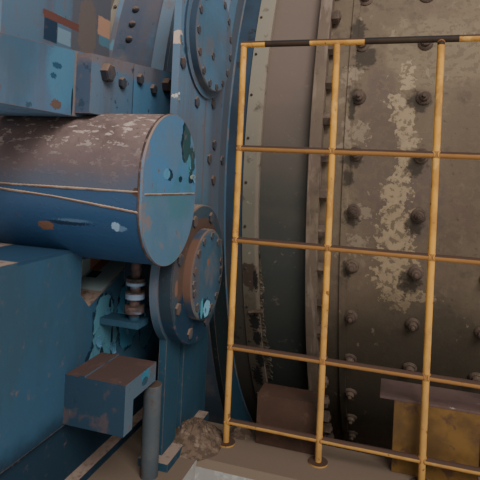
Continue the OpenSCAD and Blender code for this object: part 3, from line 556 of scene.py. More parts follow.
# %% [markdown]
# The bearing housings and covers are castings that stand in each other's shade. Dust lies in
# rings where they step. The sides that look forward are painted nearly black, and the lower cover
# and the lowest housing are painted darker; all of this is painted shade. All of them could share
# one paint, but the lowest is dull, and the sleeves behind are bare of detail.

# %% Paint the housings and the covers
finish("cover_paint", (0.084, 0.128, 0.176), 0.55, [
    *WEAR,
    # painted shade: the covers are darker below this height
    below((0.036, 0.07, 0.096), 0.55, -0.3, soft=0.02, amount=0.95),
    speckle((0.05, 0.1, 0.14), 0.6, 2.4, 0.55, 0.1, 0.6),
    speckle((0.12, 0.1, 0.095), 0.85, 3.4, 0.6, 0.07, 0.6),
    # painted shade: the sides that look forward are nearly black
    layer("facing", (0.016, 0.03, 0.05), 0.65, Level=0.1, Soft=0.2,
        Amount=0.95),
    ring((0.11, 0.105, 0.1), 0.85, 0.277, 0.3, HIGH_PLACE, 0.01, amount=0.6),
    ring((0.1, 0.09, 0.08), 0.85, 0.222, 0.25, LOW_PLACE, 0.01, amount=0.7),
    # painted shadow: the dark rim round the peel on the lower cover
    patch(NAVY_DEEP, 0.7, (0.12, -3.335, -0.775), (0.04, 0.085, 0.062), 0.9, 24.0),
    patch((0.14, 0.3, 0.38), 0.6, (0.12, -3.31, -0.768), (0.04, 0.05, 0.045), 0.7, 34.0,
        lift=0.0006),
    patch((0.06, 0.2, 0.24), 0.6, (0.12, -3.385, -0.752), (0.04, 0.02, 0.05), 0.7, 22.0),
    patch((0.15, 0.075, 0.05), 0.9, (0.12, -3.318, -0.517), (0.04, 0.018, 0.02), 0.7, 34.0),
    *EDGES,
    # painted shade: the sides that look forward and to the left are darker
    layer("facing", (0.018, 0.034, 0.056), 0.65, Along=(-0.5, -1.0, 0.3), Level=0.35, Soft=0.15,
        Amount=0.85),
    panel((0.1, 0.05, 0.03), 0.9, (0.085, -3.5, -0.52), (0.03, 0.06, 0.16), 0.3, soft=0.2,
        amount=0.9)], on=["upper_housing", "upper_cover", "lower_cover"])
# painted shade: the lowest housing's dark ground, its darker forward faces and its darker bottom
finish("housing_paint", (0.036, 0.052, 0.064), 0.65, [
    *WEAR[2:],
    speckle((0.05, 0.075, 0.09), 0.7, 3.0, 0.52, 0.12, 0.7),
    speckle((0.09, 0.06, 0.048), 0.9, 3.6, 0.58, 0.06, 0.7),
    layer("facing", (0.012, 0.022, 0.03), 0.75, Level=0.1, Soft=0.3,
        Amount=0.9),
    patch((0.14, 0.075, 0.052), 0.9, (0.07, -3.62, -0.6), (0.05, 0.02, 0.04), 0.7, 30.0,
        lift=0.0005),
    ring((0.075, 0.042, 0.028), 0.9, 0.2, 0.3, LOW_PLACE, 0.02, 0.006, 0.9),
    patch((0.01, 0.026, 0.045), 0.6, (0.07, -3.4, -0.83), (0.2, 0.24, 0.24), 0.3, 9.0, 0.1),
    *EDGES], on=["lower_housing"])
finish("dark_paint", (0.02, 0.032, 0.046), 0.6, [
    speckle((0.035, 0.05, 0.07), 0.6, 4.0, 0.52, 0.12, 0.6),
    speckle(RUST_DARK, 0.85, 6.0, 0.58, 0.06, 0.7)], on=["lower_sleeve", "upper_sleeve"])

# %% [markdown]
# The guard's wall runs round the mill behind the side plate. A pale strip goes round it between
# two darker bands, which three stripes along the axis give. They could be three materials on
# three sets of faces, but then the dust would stop at each border.

# %% Paint the guard's wall, its hoop and the bearing
finish("guard_paint", (0.062, 0.07, 0.09), 0.65, [
    *WEAR[1:],
    stripe((0.05, 0.06, 0.085), 0.7, ALONG_X, -FAR, -0.6, soft=0.02, amount=0.5),
    stripe((0.1, 0.135, 0.172), 0.55, ALONG_X, -0.457, -0.363, 0.004, 0.002),
    stripe((0.036, 0.052, 0.072), 0.7, ALONG_X, -0.361, FAR, soft=0.003, amount=0.9),
    speckle((0.12, 0.105, 0.1), 0.9, 3.0, 0.58, 0.08, 0.6),
    *EDGES], on=["guard_upper", "guard_lower"])
finish("blue_paint", BLUE, 0.55, [
    *WEAR,
    # painted shade: darker towards the bottom
    below((0.018, 0.026, 0.032), 0.9, -0.9, soft=0.9, amount=0.4),
    *EDGES], on=["bearing_base", "bearing_cap"])
finish("bracket_paint", (0.06, 0.085, 0.108), 0.6, [
    *WEAR[3:],
    # painted shade: the faces that look forward are darker
    layer("facing", (0.012, 0.028, 0.045), 0.6, Amount=0.95),
    patch((0.03, 0.12, 0.17), 0.5, (0.0, -3.76, -0.975), (0.03, 0.045, 0.03), grain=20.0,
        lift=-0.0006),
    patch((0.02, 0.05, 0.07), 0.6, (0.0, -3.77, -1.0), (0.03, 0.03, 0.018), grain=30.0,
        lift=-0.0008),
    layer("facing", (0.062, 0.036, 0.03), 0.95, Along=ALONG_Z, Level=0.4),
    speckle((0.09, 0.05, 0.04), 0.95, 9.0, 0.6, 0.06, 0.5, 0.0006),
    speckle((0.16, 0.11, 0.09), 0.95, 24.0, 0.7, 0.03, 0.6, 0.0006)], on=["support_bracket"])

# %% [markdown]
# The neck and the clamp are the parts nearest to the leaking seal. Slurry has run down them and
# dried, so they are pale at the top, brown further down, and torn open near the walkway.

# %% Paint the neck, the clamp and the stub post
# painted shade: the neck's dark navy ground stands for the guard's blue in shade
finish("neck_paint", (0.021, 0.03, 0.042), 0.6, [
    speckle((0.03, 0.05, 0.075), 0.6, 2.0, 0.52, 0.12, 0.6),
    below((0.05, 0.041, 0.03), 0.9, -0.55, 0.5, 0.25, 0.95, 3.0),
    speckle((0.02, 0.016, 0.012), 0.9, 9.0, 0.63, 0.04, 0.7, -0.0006),
    layer("settled", (0.14, 0.1, 0.08), 0.95, Level=0.7)], on=["guard_necks"])
TORN = [((0.19, -2.53, -1.04), (0.035, 0.3, 0.06)), ((0.2, -2.49, -1.17), (0.03, 0.3, 0.05)),
        ((0.205, -2.41, -1.34), (0.03, 0.3, 0.075)), ((0.17, -2.32, -1.5), (0.035, 0.3, 0.09)),
        ((0.1, -2.4, -1.42), (0.02, 0.3, 0.12)), ((0.215, -2.22, -1.64), (0.03, 0.3, 0.07)),
        ((0.21, -2.66, -0.74), (0.015, 0.2, 0.07))]
finish("seal_paint", (0.115, 0.101, 0.075), 0.8, [
    stripe((0.185, 0.158, 0.118), 0.75, ALONG_Z, 0.1, FAR, 0.5, 0.35, 0.9, 2.0),
    below((0.062, 0.047, 0.032), 0.85, -0.75, 0.4, 0.35, 0.9, 2.0),
    patch((0.045, 0.03, 0.022), 0.9, (0.17, -2.6, -0.72), (0.07, 0.3, 0.09), 1.8, 16.0, 0.1),
    stripe((0.2, 0.15, 0.11), 0.85, ALONG_X, 0.208, 0.4, 0.03, amount=0.45, grain=12.0),
    speckle((0.06, 0.045, 0.032), 0.9, 7.0, 0.64, 0.04, 0.7, -0.0005),
    speckle((0.24, 0.21, 0.17), 0.85, 20.0, 0.66, 0.04, 0.5, 0.0003),
    *[patch((0.012, 0.012, 0.01), 0.95, centre, half, 2.6, 20.0, 0.08, 0.95, -0.002)
      for centre, half in TORN],
    layer("worn", (0.16, 0.12, 0.09), 0.85, Radius=0.006, Level=0.14, Amount=0.6)],
    on=["seal_clamps"])
finish("post_paint", (0.045, 0.052, 0.056), 0.75, [
    speckle((0.07, 0.07, 0.07), 0.8, 6.0, 0.52, 0.12, 0.7),
    speckle(RUST_DARK, 0.9, 12.0, 0.6, 0.06, 0.7),
    layer("facing", (0.06, 0.042, 0.03), 0.95, Along=ALONG_Z, Level=0.5),
    layer("worn", (0.14, 0.11, 0.09), 0.85, Radius=0.006, Level=0.1, Amount=0.6)],
    on=["stub_post"])

# %% [markdown]
# The cross beam carries years of pale dust on its upper half, with drops of dried slurry on it,
# and is bare navy paint below. Two weld seams run along it, and the dust stops at the upper one.

# %% Paint the cross beam
finish("beam_paint", (0.15, 0.1, 0.085), 0.9, [
    speckle((0.085, 0.055, 0.05), 0.95, 6.0, 0.54, 0.1, 0.7),
    speckle((0.15, 0.1, 0.085), 0.95, 14.0, 0.58, 0.06, 0.6),
    speckle((0.36, 0.28, 0.235), 0.9, 34.0, 0.585, 0.02, 0.85, 0.0006, (0.6, 1.2, 1.2)),
    speckle((0.06, 0.045, 0.042), 0.95, 44.0, 0.62, 0.04, 0.6, -0.0004),
    below((0.098, 0.07, 0.068), 0.9, 0.07, 0.12, 0.07, 0.82, 9.0),
    speckle((0.15, 0.105, 0.095), 0.95, 26.0, 0.6, 0.04, 0.5),
    below((0.062, 0.07, 0.092), 0.8, -0.05, 0.12, 0.05, 0.9, 5.0),
    below((0.024, 0.05, 0.096), 0.6, -0.118, soft=0.003, amount=0.97),
    below((0.015, 0.041, 0.086), 0.55, -0.2, 0.02, 0.04, 0.95),
    speckle((0.028, 0.062, 0.115), 0.55, 2.6, 0.56, 0.1, 0.3),
    speckle((0.06, 0.045, 0.045), 0.8, 9.0, 0.68, 0.02, 0.5),
    patch((0.05, 0.03, 0.024), 0.9, (0.075, -4.05, -0.12), (0.022, 0.3, 0.018), 1.2, 20.0),
    patch((0.07, 0.11, 0.17), 0.7, (0.0, -4.05, -0.272), (0.028, 0.1, 0.012), 1.6),
    patch((0.16, 0.23, 0.3), 0.7, (-0.02, -4.05, -0.264), (0.02, 0.1, 0.019), 1.5),
    patch((0.006, 0.014, 0.03), 0.7, (-0.245, -4.05, -0.266), (0.1, 0.1, 0.009), 3.0),
    patch((0.05, 0.085, 0.13), 0.8, (-0.22, -4.05, -0.254), (0.08, 0.1, 0.007), 3.0),
    patch((0.11, 0.055, 0.035), 0.9, (-0.36, -4.05, -0.285), (0.04, 0.1, 0.02), 1.6)],
    on=["cross_beam"])

# %% [markdown]
# The jacking screw is rusty steel with two bright rings. The kerb, the tread plate and the
# yellow box by the walkway are dirty in colours of their own. They are small in the picture, so
# each has only a few layers of noise. More would cost time and not be seen.

# %% Finish the screw, the kerb and the plates by the walkway
finish("screw_rust", (0.05, 0.038, 0.036), 0.9, [
    speckle((0.09, 0.12, 0.165), 0.6, 7.0, 0.55, 0.04, 0.85, stretch=(1.0, 1.0, 3.0)),
    speckle((0.11, 0.065, 0.055), 0.9, 16.0, 0.54, 0.08, 0.8, 0.0008),
    speckle((0.02, 0.016, 0.016), 0.9, 24.0, 0.58, amount=0.8, lift=-0.0008),
    layer("settled", (0.085, 0.058, 0.045), 0.95, Level=0.6),
    below((0.02, 0.05, 0.075), 0.6, -0.752, soft=0.002),
    *[stripe((0.16, 0.21, 0.28), 0.4, ALONG_Z, z, z + 0.025, 0.01, 0.003, 0.8)
      for z in (-0.665, -0.61)]], on=["adjusting_screw"])
finish("kerb_dirt", (0.05, 0.026, 0.017), 0.95, [
    speckle((0.032, 0.019, 0.013), 0.95, 3.0, 0.52, 0.12, 0.8),
    speckle((0.07, 0.04, 0.026), 0.95, 15.0, 0.6, 0.06, 0.6, 0.0015)], on=["kerb_block"])
finish("tread_paint", (0.085, 0.052, 0.044), 0.9, [
    speckle((0.05, 0.032, 0.028), 0.9, 3.0, 0.52, 0.1, 0.7),
    speckle((0.3, 0.25, 0.23), 0.85, 13.0, 0.66, 0.03, 0.8, 0.0005),
    layer("worn", RUST_DARK, 0.9, Radius=0.006, Level=0.1, Amount=0.8)], on=["tread_plate"])
finish("box_paint", (0.12, 0.062, 0.016), 0.7, [
    speckle((0.06, 0.032, 0.012), 0.8, 4.0, 0.52, 0.1, 0.8),
    speckle(RUST_DARK, 0.9, 12.0, 0.6, amount=0.8, lift=-0.0006),
    layer("worn", RUST_DARK, 0.9, Radius=0.008, Level=0.1)], on=["yellow_box"])

# %% [markdown]
# The fence is yellow tube that has rusted brown on its upper sides, where dust and drips stay
# wet. Its top rail is ringed with black, one half metre in every metre.

# %% Paint the fence
TOP, RAIL_HALF = high("fence_panel_1").z - AXIS, 0.0165
RAILS = [WALK + height - AXIS for height in (0.524, 1.105, 1.602)]
BLACK_RINGS = [(0.36, 0.6), (0.879, 1.32), (1.84, 2.3), (2.8, 3.26)]
finish("fence_paint", (0.47, 0.225, 0.042), 0.55, [
    speckle((0.3, 0.14, 0.035), 0.7, 9.0, 0.55, 0.06, 0.75, stretch=(1.0, 1.0, 0.7)),
    speckle((0.6, 0.35, 0.1), 0.6, 14.0, 0.6, 0.06, 0.5, stretch=(1.0, 1.0, 0.5)),
    below((0.24, 0.135, 0.05), 0.65, -0.85, 0.2, 0.3, 0.6),
    *[stripe((0.2, 0.092, 0.03), 0.8, ALONG_Z, z - RAIL_HALF, z + RAIL_HALF, soft=0.001,
             amount=0.9) for z in RAILS],
    layer("settled", (0.05, 0.028, 0.02), 0.95, 0.0003, Level=0.3, Ragged=0.3, Soft=0.12),
    speckle((0.07, 0.03, 0.015), 0.9, 26.0, 0.66, 0.03, 0.8, -0.0003),
    *[panel((0.012, 0.01, 0.01), 0.7, ((start + end) / 2, -3.25, TOP - 0.017),
            ((end - start) / 2, 0.4, 0.03), 0.0, 8.0, 0.01, 0.95) for start, end in BLACK_RINGS]],
    on=["fence_panel_1", "fence_panel_2"])

# %% [markdown]
# The turning steel has no paint left. Spilled slurry has dried on it in pale, broken bands, and
# oil has crept out round some of the bolts. All of this is drawn on the unrolled plate, so it
# goes round with the mill.

# %% Steel of the mill
def stain(colour, rough, x, rise, half_x, half_along, ragged, grain, soft, amount, lift=0.0):
    """A patch on the unrolled shell, at a height above the mill axis."""
    along = SHELL_R * math.asin(rise / SHELL_R)
    return layer("patch", colour, rough, lift, Centre=(x, along, 0.0),
                 Half=(half_x, half_along, 0.5), Ragged=ragged, Grain=grain, Soft=soft,
                 Amount=amount)


# Each row gives the place along the axis, the height, and the half sizes along and round.
CREAM_BAND = [
    (1.107, 0.641, 0.035, 0.06), (1.103, 0.564, 0.045, 0.055), (1.059, 0.443, 0.07, 0.045),
    (1.09, 0.354, 0.06, 0.09), (1.101, 0.252, 0.045, 0.08), (1.125, 0.18, 0.06, 0.045),
    (1.102, 0.078, 0.035, 0.05), (1.099, -0.009, 0.045, 0.06), (1.069, -0.111, 0.085, 0.09),
    (1.069, -0.278, 0.09, 0.1), (1.073, -0.4, 0.1, 0.1), (1.079, -0.515, 0.11, 0.09),
    (1.05, -0.641, 0.11, 0.08), (1.082, -0.731, 0.085, 0.08), (1.121, -0.806, 0.055, 0.05),
    (1.22, -0.74, 0.11, 0.035)]
PALE_SPOTS = [
    (0.733, 0.59, 0.03, 0.08), (0.752, 0.281, 0.03, 0.07), (0.798, 0.629, 0.044, 0.05),
    (0.83, 0.245, 0.06, 0.07), (0.765, 0.15, 0.05, 0.05), (0.86, -0.25, 0.07, 0.05),
    (0.85, -0.45, 0.08, 0.06)]
OILY = [
    (0.787, 0.91, 0.05, 0.08), (0.838, 0.73, 0.07, 0.08), (0.8, 0.472, 0.045, 0.07),
    (0.785, 0.39, 0.02, 0.07), (0.795, 0.073, 0.055, 0.055), (0.78, -0.04, 0.03, 0.06),
    (1.169, 0.44, 0.06, 0.06), (1.165, 0.05, 0.055, 0.06), (0.807, -0.29, 0.045, 0.05),
    (1.162, -0.66, 0.06, 0.07), (0.79, -0.6, 0.03, 0.06), (1.17, -0.3, 0.05, 0.06)]
steel_layers = [
    speckle((0.088, 0.062, 0.044), 0.85, 0.9, 0.5, 0.16, 0.7),
    speckle((0.16, 0.118, 0.074), 0.85, 1.6, 0.54, 0.12, 0.6),
    speckle((0.105, 0.068, 0.053), 0.9, 3.0, 0.56, 0.1, 0.5),
    speckle((0.19, 0.14, 0.092), 0.9, 11.0, 0.62, 0.06, 0.45, 0.0004, (1.0, 0.6, 1.0)),
    speckle((0.06, 0.045, 0.033), 0.8, 5.0, 0.62, 0.07, 0.6, -0.0004),
    speckle((0.045, 0.034, 0.026), 0.85, 26.0, 0.64, amount=0.5, lift=-0.0004)]
finish("shell_steel", (0.125, 0.09, 0.058), 0.85, [
    *steel_layers,
    stain((0.16, 0.12, 0.075), 0.9, 1.25, 0.75, 0.3, 0.25, 1.5, 5.0, 0.2, 0.7),
    stain((0.09, 0.064, 0.052), 0.9, 0.95, 0.12, 0.13, 0.5, 1.5, 6.0, 0.2, 0.7),
    stain((0.09, 0.064, 0.052), 0.9, 1.2, -0.15, 0.14, 0.25, 1.5, 6.0, 0.2, 0.7),
    *[stain((0.265, 0.19, 0.115), 0.9, *row, 3.4, 26.0, 0.08, 0.85, 0.0007) for row in CREAM_BAND],
    *[stain((0.2, 0.15, 0.1), 0.9, *row, 3.4, 30.0, 0.08, 0.75, 0.0006) for row in PALE_SPOTS],
    speckle((0.115, 0.083, 0.055), 0.85, 24.0, 0.54, 0.03, 0.85, -0.0004),
    *[stain((0.03, 0.023, 0.016), 0.7, *row, 2.8, 22.0, 0.3, 0.85) for row in OILY],
    # painted shade: the lower part of the shell is darker
    stain((0.045, 0.036, 0.024), 0.85, 1.3, -1.5, 1.2, 0.75, 0.8, 3.0, 0.35, 0.75),
    speckle((0.2, 0.15, 0.1), 0.9, 9.0, 0.66, 0.015, 0.6, 0.0005, (1.3, 0.8, 1.0))],
    rolled=True, on=["mill_shell", "butt_strap", "end_flange", "mill_head"])
# %% [markdown]
# The flanges are the same steel as the shell, with more dried slurry. The running bands are
# smooth from wear, the lining is polished by the ore, and the trunnion is bright because it runs
# in its bearing. The foundations are grey concrete with dirt in its pores. Noise alone is enough
# for all of these, because none has a mark that the eye knows.

# %% The other bare steel and the concrete
finish("flange_steel", (0.115, 0.082, 0.06), 0.85, [
    *steel_layers,
    speckle((0.2, 0.15, 0.115), 0.9, 8.0, 0.58, 0.08, 0.6, 0.0004, (3.0, 0.4, 1.0))],
    rolled=True, on=["drive_flange", "shell_flange"])
finish("band_steel", (0.066, 0.058, 0.046), 0.55, [
    speckle((0.105, 0.074, 0.055), 0.7, 0.8, 0.52, 0.16, 0.8),
    speckle((0.04, 0.042, 0.037), 0.45, 1.4, 0.56, 0.14, 0.6, stretch=(0.4, 2.0, 1.0)),
    stain((0.13, 0.09, 0.07), 0.7, 0.28, 1.3, 0.5, 1.2, 0.6, 2.0, 0.4, 0.8),
    # painted shade: the lower part of the bands is darker
    stain((0.032, 0.036, 0.032), 0.5, 0.28, -1.2, 0.5, 1.1, 0.6, 2.0, 0.4, 0.85),
    speckle((0.15, 0.11, 0.08), 0.85, 20.0, 0.66, 0.04, 0.5, 0.0003)],
    rolled=True, on=["running_bands"])
finish("liner_steel", (0.11, 0.1, 0.09), 0.5, [
    speckle((0.2, 0.18, 0.16), 0.35, 3.0, 0.55, 0.08, 0.7, stretch=(0.4, 1.5, 1.0)),
    speckle((0.06, 0.045, 0.035), 0.8, 9.0, 0.6, 0.06, 0.7, -0.001)],
    metallic=0.4, rolled=True, gloss=0.5, on=["shell_liners", "head_liners"])
finish("machined_steel", (0.3, 0.29, 0.28), 0.35, [
    speckle((0.16, 0.13, 0.1), 0.6, 2.0, 0.56, 0.1, 0.7),
    speckle((0.09, 0.07, 0.055), 0.7, 7.0, 0.62, amount=0.6)],
    metallic=0.7, gloss=0.5, on=["trunnion"])
finish("concrete", (0.26, 0.24, 0.215), 0.92, [
    speckle((0.18, 0.165, 0.145), 0.95, 0.8, 0.52, 0.12, 0.8),
    speckle((0.33, 0.31, 0.28), 0.95, 14.0, 0.6, amount=0.5, lift=0.0003),
    speckle((0.11, 0.09, 0.075), 0.95, 9.0, 0.66, 0.03, 0.6, -0.001),
    speckle((0.14, 0.1, 0.075), 0.95, 2.4, 0.6, 0.08, 0.6, stretch=(1.0, 1.0, 0.25)),
    layer("settled", (0.12, 0.085, 0.06), 0.95, 0.0005, Level=0.5)],
    on=["raft", "front_plinth", "rear_plinth", "fence_wall", "bearing_plinth", "guard_saddle"])

# %% [markdown]
# Bolts, nuts, weld beads and flakes are small surfaces worked out with numpy. Each is made once
# as arrays of points and faces, then carried to every place where it sits. An instance of a
# primitive would be quicker to click together, but a bolt head with its chamfer, washer and
# stud catches the light as the real one does, and one array holds hundreds of them.

# %% Surfaces as arrays
def quads(rows, columns):
    """Four-sided faces between the points of a grid whose rows close on themselves."""
    down, across = np.meshgrid(np.arange(rows - 1), np.arange(columns), indexing="ij")
    after = (across + 1) % columns
    return np.stack([down * columns + across, down * columns + after,
                     (down + 1) * columns + after, (down + 1) * columns + across],
                    -1).reshape(-1, 4)


def sleeve(sections, closed=False):
    """A skin over sections, each a closed row of points. It ends in two flat faces, or runs
    back into its first section."""
    rows, columns = sections.shape[:2]
    points = sections.reshape(-1, 3)
    if closed:
        return outward((points, [quads(rows + 1, columns) % (rows * columns)]))
    ends = np.stack([np.arange(columns)[::-1], (rows - 1) * columns + np.arange(columns)])
    return outward((points, [quads(rows, columns), ends]))


def outward(shape):
    """Turns a closed shape's faces round if it encloses a negative volume: the sum of the
    tetrahedra between the origin and its faces."""
    points, faces = shape
    volume = 0.0
    for group in faces:
        a, b, c = points[group[:, :1]], points[group[:, 1:-1]], points[group[:, 2:]]
        volume += (a * np.cross(b, c)).sum()
    return shape if volume > 0 else (points, [group[:, ::-1] for group in faces])


def turned(profile, sides):
    """A solid of revolution about Z: point = (radius cos a, radius sin a, height) for pairs of
    radius and height."""
    radius, height = np.array(profile, float).T
    angle = TURN * np.arange(sides) / sides
    return sleeve(np.stack([np.outer(radius, np.cos(angle)), np.outer(radius, np.sin(angle)),
                            np.repeat(height[:, None], sides, 1)], -1))

# %% [markdown]
# One piece often holds many shapes, or one shape at many places. Copies could be separate objects
# that share a mesh, but hundreds of objects are slow to export, so all copies go into one pair
# of arrays and become one piece.

# %% Several shapes, and copies of a shape
def joined(*shapes):
    """Several shapes as one."""
    starts = np.cumsum([0] + [len(points) for points, _ in shapes])
    return np.concatenate([points for points, _ in shapes]), [
        group + start for (_, faces), start in zip(shapes, starts) for group in faces]


def repeated(shape, origins, axes, spins):
    """Copies of a shape: its Z axis is laid along each axis, spun about it and moved.
    point = origin + first x + second y + axis z."""
    points, faces = shape
    count = len(origins)
    axes = axes / np.linalg.norm(axes, axis=1, keepdims=True)
    helper = np.where(np.abs(axes[:, 2:]) > 0.9, [ALONG_X], [ALONG_Z])
    first = np.cross(helper, axes)
    first /= np.linalg.norm(first, axis=1, keepdims=True)
    second = np.cross(axes, first)
    c, s = np.cos(spins)[:, None], np.sin(spins)[:, None]
    frames = np.stack([c * first + s * second, c * second - s * first, axes], -1)
    placed = origins[:, None] + np.einsum("nij,pj->npi", frames, points)
    steps = (np.arange(count) * len(points))[:, None, None]
    return placed.reshape(-1, 3), [(group[None] + steps).reshape(-1, group.shape[1])
                                   for group in faces]

# %% [markdown]
# Each piece says which body it moves with: the guard and the frame stand still, and the mill
# turns. The mesh is filled in whole arrays, because adding vertices one by one in Python would
# take minutes.

# %% Make a piece of arrays
def make_piece(name, shape, material, body="frame", smooth=True):
    """Puts the arrays into a mesh, and says what the piece rides on."""
    points, faces = shape
    sizes = np.concatenate([np.full(len(group), group.shape[1]) for group in faces])
    corners = np.concatenate([group.ravel() for group in faces])
    mesh = bpy.data.meshes.new(name)
    mesh.vertices.add(len(points))
    mesh.vertices.foreach_set("co", points.astype(np.float32).ravel())
    mesh.loops.add(len(corners))
    mesh.loops.foreach_set("vertex_index", corners.astype(np.int32))
    mesh.polygons.add(len(sizes))
    mesh.polygons.foreach_set("loop_start", (np.cumsum(sizes) - sizes).astype(np.int32))
    mesh.polygons.foreach_set("use_smooth", np.full(len(sizes), smooth))
    mesh.update(calc_edges=True)
    mesh.validate()
    piece = bpy.data.objects.new(name, mesh)
    bpy.context.scene.collection.objects.link(piece)
    mesh.materials.append(material)
    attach(piece, body)
    print(name, len(points), "points", len(sizes), "faces")

# %% [markdown]
# A bolt head is a six-sided turned solid with a chamfer, on a round washer, with the end of its
# stud standing out where it is a nut.

# %% Bolts and nuts
SINK = 0.004
chance = np.random.default_rng(7)
painted_bolt = finish("painted_bolt", (0.055, 0.058, 0.066), 0.7, [
    speckle((0.028, 0.03, 0.036), 0.7, 14.0, 0.5, 0.1, 0.7),
    speckle((0.09, 0.058, 0.044), 0.9, 9.0, 0.54, 0.08, 0.8),
    # painted shade: the sides that look forward are darker
    layer("facing", (0.014, 0.014, 0.018), 0.9, Level=0.4, Soft=0.3, Amount=0.8),
    layer("settled", (0.13, 0.085, 0.064), 0.95, Level=0.3, Grain=30.0),
    layer("worn", (0.1, 0.06, 0.045), 0.9, Radius=0.004, Level=0.14, Amount=0.5)])
mill_bolt = finish("mill_bolt", (0.085, 0.058, 0.042), 0.8, [
    speckle((0.045, 0.031, 0.024), 0.85, 12.0, 0.52, 0.1, 0.8),
    speckle((0.14, 0.095, 0.064), 0.9, 20.0, 0.6, amount=0.6),
    layer("worn", (0.15, 0.085, 0.058), 0.7, Radius=0.005, Level=0.14, Amount=0.5)], rolled=True)


def fastener(across, tall, washer=0.0, washer_tall=0.006, stud=0.0, stud_out=0.0):
    """A hexagon `across` its flats, with an optional washer under it and stud through it."""
    corner = across / 2 / math.cos(math.pi / 6)
    base = washer_tall if washer else -SINK
    parts = [turned([(corner, base), (corner, base + 0.84 * tall), (0.84 * corner, base + tall)],
                    6)]
    if washer:
        parts.append(turned([(washer, -SINK), (washer, 0.7 * washer_tall),
                             (0.9 * washer, washer_tall)], 16))
    if stud:
        end = base + tall + stud_out
        parts.append(turned([(stud, base + 0.5 * tall), (stud, end - 0.15 * stud),
                             (0.8 * stud, end)], 10))
    return joined(*parts)

# %% [markdown]
# Bolts stand in rings round the mill, in circles on a cover, in rows, or each at a place of its
# own. These helpers give the places and the way that the bolts point. Each bolt gets a turn of
# its own, because a fitter tightens each until it holds, wherever its corners end up.

# %% Places of bolts
def on_wheel(x, radius, count, phase=0.0, first=0.0, last=360.0, sideways=0.0):
    """Places round the mill axis, one each 360 / count degrees from first to last, with the
    axis that each bolt points along: outward, or along X where sideways is +1 or -1.
    Angles are counted from the frame's side, upwards."""
    degrees = phase + np.arange(count) * 360.0 / count
    a = np.radians(degrees[(degrees % 360.0 >= first) & (degrees % 360.0 <= last)])
    out = np.stack([np.zeros_like(a), -np.cos(a), np.sin(a)], -1)
    axes = np.tile([sideways, 0.0, 0.0], (len(a), 1)) if sideways else out
    return radius * out + [x, 0.0, AXIS], axes


def on_face(x, spots):
    """Places on a face that looks along X, from pairs of Y and height over the mill axis."""
    flat = np.array(spots, float)
    places = np.column_stack([np.full(len(flat), x), flat[:, 0], flat[:, 1] + AXIS])
    return places, np.tile(ALONG_X, (len(flat), 1))


def on_ring(x, centre, radius, degrees):
    """Places on a circle in a face that looks along X, about a centre in Y and height."""
    a = np.radians(np.array(degrees, float))
    return on_face(x, np.column_stack([centre[0] + radius * np.cos(a),
                                       centre[1] + radius * np.sin(a)]))


def upright(places, way=1.0):
    """Places of bolts that point up, or down where the way is -1."""
    return np.array(places), np.tile([0.0, 0.0, way], (len(places), 1))


def bolt_up(name, shape, *sets, material=painted_bolt, body="frame", slot="blue_paint"):
    """One piece from sets of places and axes, each bolt at a turn of its own."""
    places, axes = (np.concatenate(arrays) for arrays in zip(*sets))
    spins = chance.uniform(0.0, TURN, len(places))
    chance.uniform(-1.0, 1.0, len(places))  # not used, but it keeps the later draws as they are
    make_piece(name, repeated(shape, places, axes, spins), material, body, smooth=False)

# %% [markdown]
# The mill's plates are held by rows of bolts that go right round it. The liner bolts come
# through the shell in rings, each on a cup washer that keeps the slurry in. The joint flange
# has nuts on its right and heads on its left.

# %% Bolts of the turning mill
LINER_BOLTS, LINER_PHASE = 48, 2.4
LINER_COLUMNS = [0.82, 1.2, 1.595, 1.99, 2.385, 2.78, 3.175]
JOINT_BOLTS, JOINT_PHASE, JOINT_R = 74, 1.9, SHELL_R + 0.05
HEAD_RIM, HEAD_SLOPE = 0.09, 0.0422
ON_MILL = {"material": mill_bolt, "body": "mill", "slot": "shell_steel"}


def on_head(radius, count, phase):
    """Bolts on the sloping face of the mill head, square to the axis."""
    return on_wheel(high("mill_head").x - HEAD_RIM - HEAD_SLOPE * (BAND_R - radius), radius,
                    count, phase, sideways=-1.0)


liner_bolt = joined(turned([(0.045, -SINK), (0.045, 0.007), (0.036, 0.016)], 18),
                    turned([(0.028, 0.012), (0.028, 0.034), (0.022, 0.04)], 12),
                    turned([(0.013, 0.03), (0.013, 0.054), (0.009, 0.058)], 10))
bolt_up("liner_bolts", liner_bolt,
        *[on_wheel(x, SHELL_R, LINER_BOLTS, LINER_PHASE) for x in LINER_COLUMNS],
        *[on_wheel(x, BAND_R, LINER_BOLTS, LINER_PHASE) for x in (-1.16, -1.02)], **ON_MILL)
bolt_up("joint_nuts", fastener(0.078, 0.055, stud=0.02, stud_out=0.008),
        on_wheel(high("shell_flange").x, JOINT_R, JOINT_BOLTS, JOINT_PHASE, sideways=1.0),
        **ON_MILL)
bolt_up("joint_heads", fastener(0.05, 0.008),
        on_wheel(low("drive_flange").x, JOINT_R, JOINT_BOLTS, JOINT_PHASE, sideways=-1.0),
        **ON_MILL)
bolt_up("head_bolts", fastener(0.075, 0.045, 0.055, 0.008, 0.022, 0.016),
        on_head(2.6, 60, 3.0), *[on_head(radius, 24, 7.5) for radius in (2.25, 1.85, 1.45)],
        **ON_MILL)
bolt_up("trunnion_bolts", fastener(0.065, 0.04, 0.048, 0.008, 0.019, 0.014),
        on_wheel(low("mill_head").x - 0.07, 0.925, 24, 7.5, sideways=-1.0),
        material=mill_bolt, body="mill", slot="machined_steel")

# %% [markdown]
# The frame's bolts are few and each has its own place, so they are written as lists of places
# on the face that carries them.

# %% Bolts of the frame and the guard
PAD_X, LOW_COVER, HIGH_COVER = (high(node).x for node in (
    "bolted_pad", "lower_cover", "upper_cover"))
WALL_X, SEAL_EDGE = -0.67, 0.085
CLAMP_BOLTS, CLAMP_PHASE, CLAMP_R = 61, 3.9, BAND_R + 0.042
SPLIT_Y, SPLIT_Z, SPLIT_HALF = GUARD_R + 0.05, high("guard_lower").z, 0.025

